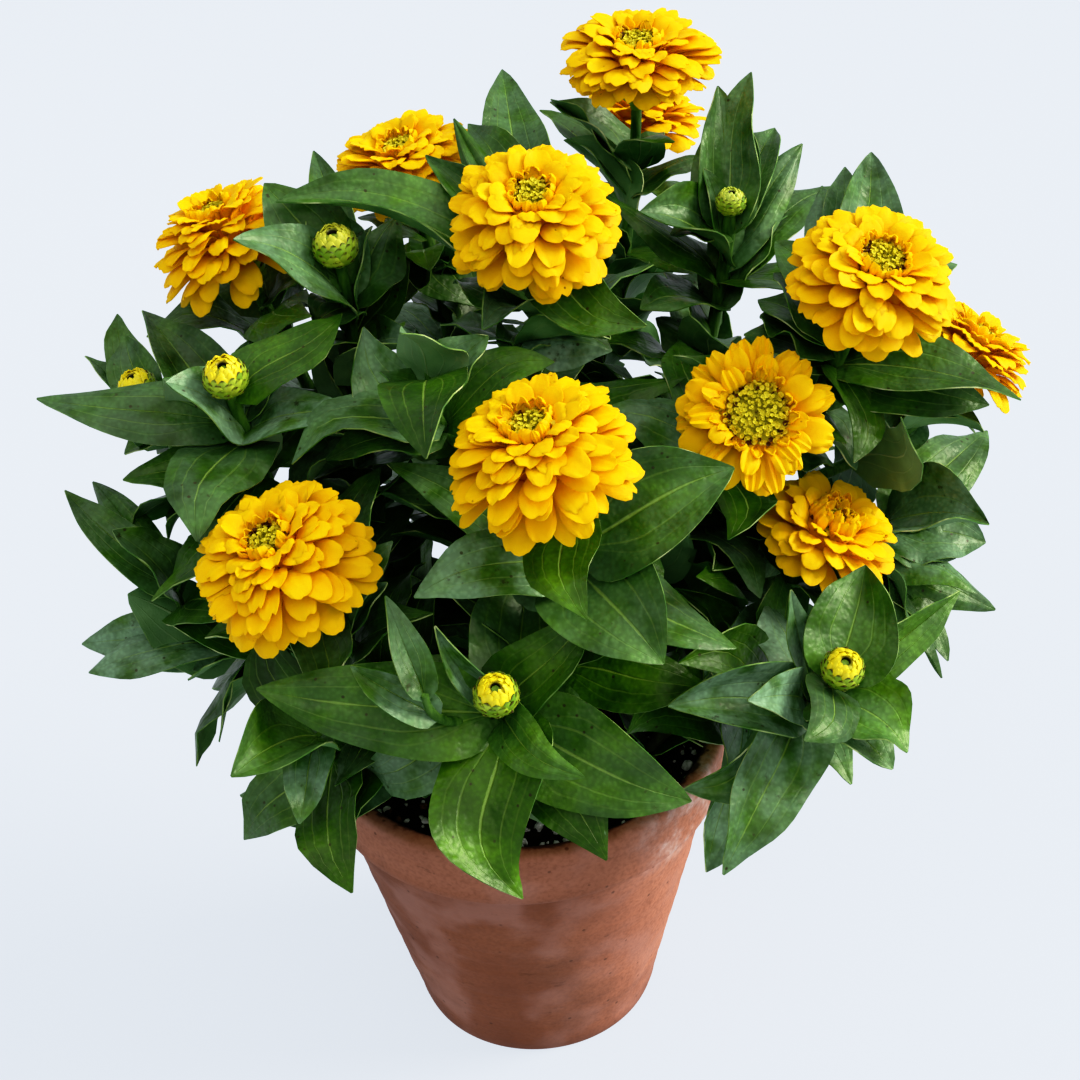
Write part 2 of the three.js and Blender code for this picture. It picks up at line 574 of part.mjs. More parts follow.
function petalBlades(bloom) {
  const side = point(0, 1, 0).cross(bloom.axis).normalize();
  const back = bloom.axis.clone().cross(side);
  const at = (angle, radius, height) =>
    bloom.place
      .clone()
      .addScaledVector(side, radius * Math.cos(angle))
      .addScaledVector(back, radius * Math.sin(angle))
      .addScaledVector(bloom.axis, height);
  const profile = coreProfile(bloom);
  const coreTop = profile[3][1];
  const innerReach = bloom.disc + PETAL.clearOfDisc;
  return Array.from({ length: bloom.petals }, (unused, index) => {
    const share = index / (bloom.petals - 1);
    const angle = index * GOLDEN_ANGLE;
    const climb = lerp(LOWEST_PETAL, HIGHEST_PETAL, share);
    const tipHeight =
      climb < 0
        ? (-bloom.hang * Math.sin(climb)) / Math.sin(LOWEST_PETAL)
        : (bloom.rise * Math.sin(climb)) / Math.sin(HIGHEST_PETAL);
    const reach = lerp(innerReach, bloom.reach, (Math.cos(climb) - INNER_SHARE) / (1 - INNER_SHARE));
    const rootHeight = lerp(PETAL.lowestRoot, coreTop + PETAL.highestRoot, share);
    return {
      start: at(angle, rootRadius(profile, rootHeight), rootHeight),
      tip: at(angle, reach, tipHeight),
      face: bloom.axis,
      width: lerp(...PETAL.width, share),
      arch: lerp(...PETAL.arch, share),
      roll: 0,
      fold: PETAL.fold,
      inner: share > PETAL.innerFrom,
    };
  });
}

function petalsOf(bloom) {
  const core = roundShape(coreProfile(bloom), CORE.sides, 0, bloom.place, bloom.axis);
  return joined([solidOf(core), ...petalBlades(bloom).map((blade) => solidOf(petalShape(blade)))]);
}

// Disc: a low dome whose florets stand out in turn
const DISC = { sides: 10, relief: 1, footInset: 1, rimInset: 0.4, rimHeight: 2, topHeight: 4, dimple: 0.4 };

function discOf({ rise, disc, place, axis }) {
  const foot = rise - CORE.belowDome + SEAT;
  const profile = [
    [0, foot],
    [disc - DISC.footInset, foot],
    [disc - DISC.rimInset, foot + DISC.rimHeight],
    [disc / 2, foot + DISC.topHeight],
    [0, foot + DISC.topHeight - DISC.dimple],
  ];
  return solidOf(roundShape(profile, DISC.sides, DISC.relief, place, axis));
}

// Bud: a ball of green scales on the stem, and the yellow dome that shows inside them
const BUD_SCALES = [[0, -1.15], [0.55, -0.95], [0.92, -0.45], [0.97, 0.05], [0.86, 0.4], [0, 0.4]];
const BUD_CROWN = [[0, 0], [0.78, 0], [0.66, 0.38], [0.2, 0.56], [0, 0.42]];
const BUD = { sides: 8, relief: 0.7, crownFoot: 0.4, sunk: 0.8 };

function budScales({ radius, place, axis }) {
  const profile = BUD_SCALES.map(([out, height]) => [out * radius, height * radius]);
  return roundShape(profile, BUD.sides, BUD.relief, place, axis);
}

function budCrown({ radius, place, axis }) {
  const foot = BUD.crownFoot * radius + SEAT;
  const profile = BUD_CROWN.map(([out, height]) => [out * radius, foot + height * radius]);
  return solidOf(roundShape(profile, BUD.sides, 0, place, axis));
}

function cupOf({ place, axis }) {
  const profile = [
    [0, CUP.foot],
    [CUP.footRadius, CUP.foot],
    [CUP.waistRadius, CUP.waist],
    [CUP.topRadius, CUP.top],
    [0, CUP.top],
  ];
  return roundShape(profile, CUP.sides, 0, place, axis);
}

// Soil's surface height at a distance from the middle
const soilHeight = (radius) => SOIL.top + SOIL.mound * (1 - (radius / POT.lipInnerRadius) ** 2);

// Routes of the shoots, each from its start to just under its head
function routeOf(shoot, routes) {
  const head = blooms[shoot.bloom] ?? buds[shoot.bud];
  const axis = head ? head.axis : UP;
  const below = shoot.bloom ? CUP.foot + CUP.sunk : -BUD.sunk * (head?.radius ?? 0);
  const end = head ? head.place.clone().addScaledVector(axis, below) : placeAtY(shoot.tip, shoot.y);
  let start;
  let setOff;
  if (shoot.soil) {
    const [x, y] = shoot.soil;
    start = point(x, y, soilHeight(Math.hypot(x, y)) - SOIL.holeDepth + SEAT);
    setOff = point(x, y, 0).multiplyScalar(STEM.splay).add(UP).normalize();
  } else {
    const parent = routes[shoot.off].curve;
    start = parent.getPoint(shoot.along);
    const onward = end.clone().sub(start).normalize();
    setOff = parent.getTangent(shoot.along).add(onward).normalize();
  }
  const reach = start.distanceTo(end) * STEM.hold;
  const curve = new THREE.CubicBezierCurve3(
    start,
    start.clone().addScaledVector(setOff, reach),
    end.clone().addScaledVector(axis, -reach),
    end,
  );
  return { ...shoot, curve, length: curve.getLength(), head };
}

const routes = {};
SHOOTS.forEach((shoot) => {
  routes[shoot.name] = routeOf(shoot, routes);
});

function stemRings({ curve, soil, head }, room = 0) {
  const foot = (soil ? STEM.footRadius : STEM.branchRadius) + room;
  const top = (head ? STEM.headRadius : STEM.tipRadius) + room;
  return tubeRings(curve, foot, top);
}

const stemShape = (route, room) => loft(stemRings(route, room));

// Whether two closed meshes cross: an edge of one passes through a face of the other
function boxOf({ places }) {
  return new THREE.Box3().setFromPoints(places);
}

function cornersOf({ places, faces }) {
  return faces.map((face) => face.map((corner) => places[corner]));
}

const edgeRay = new THREE.Ray();
const hitPlace = point(0, 0, 0);

function edgePierces(from, to, [a, b, c]) {
  edgeRay.origin.copy(from);
  edgeRay.direction.copy(to).sub(from);
  const span = edgeRay.direction.length();
  edgeRay.direction.divideScalar(span);
  const hit = edgeRay.intersectTriangle(a, b, c, false, hitPlace);
  return hit !== null && hit.distanceTo(from) <= span;
}

function facesCross(one, other) {
  return one.some((corner, index) => {
    const next = one[(index + 1) % 3];
    return edgePierces(corner, next, other);
  });
}

function kept(shape) {
  const triangles = cornersOf(shape).map((corners) => ({
    corners,
    box: new THREE.Box3().setFromPoints(corners),
  }));
  return { triangles, box: boxOf(shape) };
}

function cross(one, other) {
  if (!one.box.intersectsBox(other.box)) return false;
  const near = one.triangles.filter((triangle) => triangle.box.intersectsBox(other.box));
  const far = other.triangles.filter((triangle) => triangle.box.intersectsBox(one.box));
  return near.some((a) =>
    far.some(
      (b) =>
        a.box.intersectsBox(b.box) && (facesCross(a.corners, b.corners) || facesCross(b.corners, a.corners)),
    ),
  );
}

// Room kept for each head and for the rim and soil, as shapes a little larger than the pieces in them
const ROOM = { margin: 2, wall: 1, rim: 1.5, soilDepth: 20, sides: 12, shoulder: 0.8, dome: 0.75 };
const BUD_ROOM = [[0, -0.6], [0.8, -0.6], [1.15, 0], [0.95, 0.8], [0, 1.1]];

function bloomRoom({ reach, rise, hang, disc, place, axis }) {
  const profile = [
    [0, CUP.top - BLADE.room],
    [CUP.topRadius, CUP.top - BLADE.room],
    [reach * ROOM.shoulder, -hang - ROOM.margin],
    [reach + ROOM.margin, -hang],
    [reach + ROOM.margin, ROOM.margin],
    [reach * ROOM.shoulder, rise * ROOM.dome + ROOM.margin],
    [disc + PETAL.clearOfDisc, rise + ROOM.margin],
    [0, rise + ROOM.margin],
  ];
  return roundShape(profile, ROOM.sides, 0, place, axis);
}

function budRoom({ radius, place, axis }) {
  const profile = BUD_ROOM.map(([out, height]) => [out * radius, height * radius]);
  return roundShape(profile, ROOM.sides, 0, place, axis);
}

// The view of each head from the camera, which no leaf set by rule stands in
const SIGHT = { reach: 110, sides: 8, budWide: 1.1, farShare: 0.85, share: 0.92 };


function sightOf({ reach, radius, place }) {
  const toEye = CAMERA.eye.clone().sub(place).normalize();
  const wide = reach ? reach * SIGHT.share : radius * SIGHT.budWide;
  const profile = [[0, 0], [wide, 0], [wide * SIGHT.farShare, SIGHT.reach], [0, SIGHT.reach]];
  return roundShape(profile, SIGHT.sides, 0, place, toEye);
}

function rimRoom() {
  const [inner, outer] = [POT.lipInnerRadius - ROOM.wall, POT.lipOuterRadius + ROOM.rim];
  const [foot, top] = [POT.height - POT.bandHeight, POT.height + ROOM.rim];
  const band = [[inner, foot], [outer, foot], [outer, top], [inner, top]];
  const corners = [...band, band[0]].map(([radius, height]) => new THREE.Vector2(radius, height));
  return shapeOf(new THREE.LatheGeometry(corners, POT.sides / 2).rotateX(Math.PI / 2));
}

function soilRoom() {
  const wall = POT.lipInnerRadius - ROOM.wall;
  const top = SOIL.top + SOIL.crumbs + ROOM.wall;
  const foot = top - ROOM.soilDepth;
  return turned([[0, foot], [wall, foot], [wall, top], [0, top + SOIL.mound]], POT.sides / 2);
}

// What the leaves must clear, each with the plant that it belongs to
const obstacles = [
  ...Object.values(routes).map((route) => {
    const room = kept(stemShape(route, BLADE.room));
    return { plant: route.plant, stem: true, ...room };
  }),
  ...Object.values(blooms).map((bloom) => ({ plant: null, ...kept(bloomRoom(bloom)) })),
  ...Object.values(buds).map((bud) => ({ plant: null, ...kept(budRoom(bud)) })),
  { plant: null, ...kept(rimRoom()) },
  { plant: null, ...kept(soilRoom()) },
];
const sights = [...Object.values(blooms), ...Object.values(buds)].map((head) => kept(sightOf(head)));

// Small turns of a leaf about its start, nearest first: a swing about the stem and a lift off it
function turnsInOrder() {
  const turns = [[0, 0]];
  for (let round = 1; round <= TURNS.rounds; round += 1) {
    for (let direction = 0; direction < TURNS.directions; direction += 1) {
      const angle = (direction * 2 * Math.PI) / TURNS.directions;
      turns.push([round * TURNS.step * Math.sin(angle), round * TURNS.step * Math.cos(angle)]);
    }
  }
  return turns;
}

function turnedLeaf(leaf, [swing, lift], shorter) {
  const chord = leaf.tip.clone().sub(leaf.start).multiplyScalar(shorter);
  const side = leaf.face.clone().cross(chord).normalize();
  chord.applyAxisAngle(side, -radians(lift));
  chord.applyAxisAngle(leaf.face, radians(swing));
  return { ...leaf, tip: leaf.start.clone().add(chord), width: leaf.width * shorter };
}

function clears(leaf, plant, byRule) {
  const own = kept(leafShape(leaf, BLADE.room));
  if (byRule) {
    if (leaf.tip.z < PAIRS.lowestTip || Math.hypot(leaf.tip.x, leaf.tip.y) > PAIRS.widestTip) return false;
    if (sights.some((sight) => cross(own, sight))) return false;
  }
  const passed = (thing) => thing.plant === plant && (thing.stem || !byRule);
  return !obstacles.some((thing) => !passed(thing) && cross(own, thing));
}

const leaves = [];

function placeLeaf(leaf, plant, byRule) {
  const found = TURNS.lengths
    .flatMap((shorter) => turnsInOrder().map((turn) => turnedLeaf(leaf, turn, shorter)))
    .find((candidate) => clears(candidate, plant, byRule));
  if (found) {
    leaves.push({ ...found, plant });
    obstacles.push({ plant, ...kept(leafShape(found, BLADE.room)) });
  } else if (!byRule) {
    throw new Error(`no room for the leaf at ${leaf.to}`);
  }
}

// Nearest point of a shoot to a sight line, among samples taken along it
const ALONG = { samples: 41, first: 0.04, last: 0.98 };

function nearestOnShoot({ curve }, see) {
  const line = sightLine(see);
  const ray = new THREE.Ray(CAMERA.eye, line.clone().normalize());
  const { samples: count, first, last } = ALONG;
  const samples = Array.from({ length: count }, (unused, index) => lerp(first, last, index / (count - 1)));
  const gaps = samples.map((share) => ray.distanceSqToPoint(curve.getPoint(share)));
  return samples[gaps.indexOf(Math.min(...gaps))];
}

SEEN_LEAVES.forEach((seen) => {
  const route = routes[seen.shoot];
  const share = nearestOnShoot(route, seen.from);
  const start = route.curve.getPoint(share);
  const tip = CAMERA.eye.clone().addScaledVector(sightLine(seen.to), distanceOf(start) - seen.nearer);
  const face = route.curve.getTangent(share);
  placeLeaf({ ...seen, start, tip, face }, route.plant, false);
});

// Opposite pairs up each shoot
Object.values(routes).forEach((route, index) => {
  const draw = drawFrom(PAIRS.firstDraw + index);
  const spread = (middle, half) => middle + half * (2 * draw() - 1);
  const first = route.soil ? PAIRS.clearOfSoil : PAIRS.clearOfFork;
  let heading = draw() * Math.PI;
  for (let run = first; run < route.length - PAIRS.clearOfHead; run += PAIRS.spacing) {
    for (const other of [0, 1]) {
      const share = route.curve.getUtoTmapping(0, run + other * PAIRS.stagger);
      const start = route.curve.getPoint(share);
      const face = route.curve.getTangent(share);
      const level = UP.clone().cross(face).normalize();
      const lift = radians(spread(PAIRS.lift, PAIRS.liftSpread));
      const drawn = spread(PAIRS.length, PAIRS.lengthSpread) - (PAIRS.shortening * run) / route.length;
      const reach = Math.max(PAIRS.shortest, drawn);
      const outward = level.applyAxisAngle(face, heading + other * Math.PI);
      const [run_out, rise] = [reach * Math.cos(lift), reach * Math.sin(lift)];
      const chord = outward.multiplyScalar(run_out).addScaledVector(face, rise);
      const leaf = {
        start,
        tip: start.clone().add(chord),
        face,
        width: reach * PAIRS.widthShare,
        arch: spread(PAIRS.arch, PAIRS.archSpread),
        roll: spread(0, PAIRS.rollSpread),
        fold: PAIRS.fold,
        byRule: true,
      };
      placeLeaf(leaf, route.plant, true);
    }
    heading += Math.PI / 2;
  }
});

// Pot: an open tapered bowl with a thick band round the rim and small drain holes in its floor
function potSolid() {
  const bandFoot = POT.height - POT.bandHeight;
  const profile = [
    [0, 0],
    [POT.baseRadius - POT.edge, 0],
    [POT.baseRadius, POT.edge],
    [POT.neckRadius, bandFoot],
    [POT.bandFootRadius, bandFoot],
    [POT.lipOuterRadius, POT.height - POT.lipEdge],
    [POT.lipOuterRadius - POT.lipEdge, POT.height],
    [POT.lipInnerRadius + POT.edge, POT.height],
    [POT.lipInnerRadius, POT.height - POT.edge],
    [POT.innerFloorRadius, POT.floor],
    [0, POT.floor],
  ];
  let pot = solidOf(turned(profile, POT.sides));
  for (let index = 0; index < POT.drains; index += 1) {
    const angle = (index * 2 * Math.PI) / POT.drains;
    const drill = new THREE.CylinderGeometry(POT.drainRadius, POT.drainRadius, POT.floor * 3, POT.drainSides)
      .rotateX(Math.PI / 2)
      .translate(POT.drainCircle * Math.cos(angle), POT.drainCircle * Math.sin(angle), 0);
    pot = pot.subtract(solidOf(shapeOf(drill)));
  }
  return pot;
}

// Inner wall radius of the pot at a height
const innerWall = (height) =>
  lerp(POT.innerFloorRadius, POT.lipInnerRadius, (height - POT.floor) / (POT.height - POT.edge - POT.floor));

// Soil: fills the pot to below the lip, crumbly on top, with a plain hole for each stem that stands in it
function soilSolid() {
  const draw = drawFrom(SOIL.draw);
  const foot = POT.floor + SEAT;
  const edge = SOIL.top - SOIL.edgeDrop;
  const wall = innerWall(edge) - SEAT;
  const profile = [[0, foot], [innerWall(foot) - SEAT, foot], [wall, edge]];
  for (let ring = 1; ring < SOIL.rings; ring += 1) {
    const radius = wall * (1 - ring / SOIL.rings);
    profile.push([radius, soilHeight(radius)]);
  }
  profile.push([0, soilHeight(0)]);
  const shape = turned(profile, POT.sides);
  shape.places.forEach((place) => {
    if (place.z > edge + SEAT) place.z += SOIL.crumbs * (2 * draw() - 1);
  });
  return Object.values(routes)
    .filter((route) => route.soil)
    .reduce((soil, route) => {
      const [lowest, above] = stemRings(route, SEAT);
      const down = (place, side) => place.clone().sub(above[side]).setLength(SEAT);
      const sunk = lowest.map((place, side) => place.clone().add(down(place, side)));
      return soil.subtract(solidOf(loft([sunk, above])));
    }, solidOf(shape));
}

// A leafy stem: its shoots, with their leaves, the green cups under the blooms and the scales of the buds
function plantSolid(plant) {
  const shoots = Object.values(routes).filter((route) => route.plant === plant);
  const pieces = [
    ...shoots.map((route) => stemShape(route)),
    ...shoots.filter((route) => route.bloom).map((route) => cupOf(route.head)),
    ...shoots.filter((route) => route.bud).map((route) => budScales(route.head)),
    ...leaves.filter((leaf) => leaf.plant === plant).map((leaf) => leafShape(leaf)),
  ];
  return joined(pieces.map(solidOf));
}

const COLOURS = {
  clay: { color: "#a8583a", roughness: 0.9, metalness: 0 },
  soil: { color: "#15110e", roughness: 1, metalness: 0 },
  leaf: { color: "#2f6b24", roughness: 0.6, metalness: 0 },
  petal: { color: "#ffc300", roughness: 0.6, metalness: 0 },
  disc: { color: "#b8a414", roughness: 0.8, metalness: 0 },
  crown: { color: "#dccb1a", roughness: 0.7, metalness: 0 },
};

const zinnia = new THREE.Group();

function addPiece(name, solid, look) {
  const mesh = new THREE.Mesh(geometryOf(solid), new THREE.MeshStandardMaterial(COLOURS[look]));
  mesh.name = name;
  zinnia.add(mesh);
}

addPiece("pot", potSolid(), "clay");
addPiece("soil", soilSolid(), "soil");
new Set(SHOOTS.map((shoot) => shoot.plant)).forEach((plant) => {
  addPiece(`leafy_stem_${plant}`, plantSolid(plant), "leaf");
});
Object.values(blooms).forEach((bloom) => {
  addPiece(`bloom_${bloom.name}_petals`, petalsOf(bloom), "petal");
  addPiece(`bloom_${bloom.name}_disc`, discOf(bloom), "disc");
});
Object.values(buds).forEach((bud) => {
  addPiece(`bud_${bud.name}_crown`, budCrown(bud), "crown");
});

export default zinnia;
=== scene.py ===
"""Potted zinnia: a terracotta pot of dark soil with branching leafy stems, golden yellow blooms and buds.

Named sizes are in millimetres and named angles in degrees. They become metres and radians in the code.
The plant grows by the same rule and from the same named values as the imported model, so every finer piece
stands where its plain one does.
"""

import math

import bpy
import numpy as np
from mathutils import Matrix, Vector, noise
from mathutils.bvhtree import BVHTree


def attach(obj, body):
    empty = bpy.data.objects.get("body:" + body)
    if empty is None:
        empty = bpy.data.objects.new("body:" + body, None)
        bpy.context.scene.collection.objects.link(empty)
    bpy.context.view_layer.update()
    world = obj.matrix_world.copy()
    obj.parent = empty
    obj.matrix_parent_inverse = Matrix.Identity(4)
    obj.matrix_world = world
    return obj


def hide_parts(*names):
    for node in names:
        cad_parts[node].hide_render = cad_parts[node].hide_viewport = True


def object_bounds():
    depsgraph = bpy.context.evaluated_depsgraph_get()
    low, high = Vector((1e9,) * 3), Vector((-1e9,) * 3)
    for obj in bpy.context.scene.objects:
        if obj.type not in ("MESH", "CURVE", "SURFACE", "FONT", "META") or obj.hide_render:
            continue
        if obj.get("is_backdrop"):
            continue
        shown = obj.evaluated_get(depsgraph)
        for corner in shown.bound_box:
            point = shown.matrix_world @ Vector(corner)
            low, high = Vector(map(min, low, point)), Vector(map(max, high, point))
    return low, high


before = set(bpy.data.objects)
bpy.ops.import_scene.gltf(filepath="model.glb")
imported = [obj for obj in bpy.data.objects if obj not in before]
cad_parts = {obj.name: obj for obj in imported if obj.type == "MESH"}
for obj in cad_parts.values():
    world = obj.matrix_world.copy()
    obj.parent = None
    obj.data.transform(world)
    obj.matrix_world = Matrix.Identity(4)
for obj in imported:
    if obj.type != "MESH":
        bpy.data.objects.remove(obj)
cad_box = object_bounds()

MM = 0.001
UP = np.array((0.0, 0.0, 1.0))
GOLDEN_ANGLE = math.radians(137.508)

# Pot: heights and radii of its body, the thick band round its rim, and its floor with three drain holes
POT = {
    "height": 140,
    "base_radius": 49.5,
    "neck_radius": 74.2,
    "band_height": 26.5,
    "band_foot_radius": 78.4,
    "lip_outer_radius": 80,
    "lip_inner_radius": 73,
    "inner_floor_radius": 43.5,
    "floor": 9,
    "drain_radius": 4.5,
    "drain_circle": 24,
    "drains": 3,
}

# Soil: height of its top, drop at the wall, mound in the middle, and depth to which the stems stand in it
SOIL = {"top": 127, "edge_drop": 1.5, "mound": 4, "hole_depth": 14, "seat": 0.3}

# Stems: radius at the foot, at a fork, under a head and at a leafy tip, how far the curve keeps its end
# directions, and how much the feet splay
STEM = {
    "foot_radius": 3.2,
    "branch_radius": 2.5,
    "head_radius": 2.1,
    "tip_radius": 1.26,
    "hold": 0.38,
    "splay": 0.004,
}

# The photograph's camera: eye, pitch and roll, and its focal length and middle in a picture of some width
CAMERA = {
    "eye": (11.8, -567.3, 619.6),
    "pitch": 35.1,
    "roll": -3.49,
    "focal": 1900,
    "middle": 540,
    "width": 1080,
    "sensor": 36,
    "clip": (0.02, 60),
}

# Blooms: place in the picture, distance back, reach of the petals, height of the dome, hang of the lowest
# petals, radius of the disc, number of petals, lean of the axis to the right and to the back, and number of
# young petals round the disc
BLOOMS = {
    "centre": ((543, 462), -66, 32, 20, 13, 7.5, 112, (-0.25, -0.15), 17),
    "upper": ((533, 224), 15, 30.5, 19, 11, 7, 108, (0, -0.42), 15),
    "lower_left": ((286, 566), -62, 31.5, 19, 12, 7, 108, (-0.32, -0.3), 15),
    "left": ((232, 247), 62, 30, 19, 14, 6.5, 100, (-0.38, 0.05), 15),
    "back_left": ((404, 166), 92, 28, 12.5, 12, 6.5, 84, (-0.2, -0.1), 14),
    "crown": ((637, 60), 120, 31, 12, 7, 8, 88, (0.02, -0.12), 15),
    "back": ((640, 122), 172, 27, 13, 8, 7, 66, (0.1, 0.15), 14),
    "right": ((873, 283), 0, 30, 16, 10, 8, 104, (0.22, -0.38), 17),
    "far_right": ((966, 356), 34, 25, 14, 10, 7, 70, (0.6, 0.1), 14),
    "inner_right": ((755, 416), -22, 27.5, 9, 3, 11, 36, (0.05, -1.1), 18),
    "lower_right": ((826, 533), -12, 28, 11, 7, 8, 58, (0.4, -0.25), 46),
}
BLOOM_KEYS = ("see", "y", "reach", "rise", "hang", "disc", "petals", "lean", "young")

# Buds: place in the picture, distance back, radius, lean, and how yellow the young petals are
BUDS = {
    "front": ((496, 694), -94, 7.6, (0, -0.45), 1.0),
    "front_right": ((843, 668), -74, 7.4, (0.12, -0.4), 0.9),
    "left": ((225, 376), -8, 7.8, (-0.05, -0.3), 1.0),
    "far_left": ((137, 387), 32, 7.4, (-0.25, -0.1), 1.0),
    "back_left": ((335, 245), 30, 8, (-0.1, -0.15), 0.35),
    "back_right": ((731, 201), 72, 5.6, (0.05, -0.1), 0.05),
}
BUD_KEYS = ("see", "y", "radius", "lean", "yellow")

# Shoots: name, plant, then where each starts, which is a place in the soil or a share of another shoot's
# length, and where it ends, which is a bloom, a bud or a leafy tip seen in the picture at a distance back
SHOOTS = [
    ("centre", "front", (2, -20), ("bloom", "centre")),
    ("front", "front", ("centre", 0.3), ("bud", "front")),
    ("front_side", "front", ("front", 0.62), ("tip", (425, 695), -98)),
    ("lower_left", "front_left", (-26, -30), ("bloom", "lower_left")),
    ("low_left", "front_left", ("lower_left", 0.3), ("tip", (318, 735), -74)),
    ("left", "left", (-44, -6), ("bud", "left")),
    ("far_left", "left", ("left", 0.42), ("bud", "far_left")),
    ("left_low", "left", ("left", 0.2), ("tip", (176, 590), -10)),
    ("left_back", "back_left", (-36, 24), ("bloom", "left")),
    ("back_left", "back_left", ("left_back", 0.45), ("bud", "back_left")),
    ("behind_left", "middle_back", (-14, 32), ("bloom", "back_left")),
    ("upper", "middle", (0, 8), ("bloom", "upper")),
    ("middle_left", "middle", ("upper", 0.42), ("tip", (428, 372), -20)),
    ("crown", "back", (16, 40), ("bloom", "crown")),
    ("back", "back", ("crown", 0.45), ("bloom", "back")),
    ("back_right", "back_right", (38, 24), ("bud", "back_right")),
    ("right", "right", (46, -2), ("bloom", "right")),
    ("far_right", "right", ("right", 0.5), ("bloom", "far_right")),
    ("right_low", "right", ("right", 0.3), ("tip", (884, 520), 20)),
    ("inner_right", "inner_right", (22, -6), ("bloom", "inner_right")),
    ("lower_right", "front_right", (40, -28), ("bloom", "lower_right")),
    ("front_right", "front_right", ("lower_right", 0.3), ("bud", "front_right")),
]

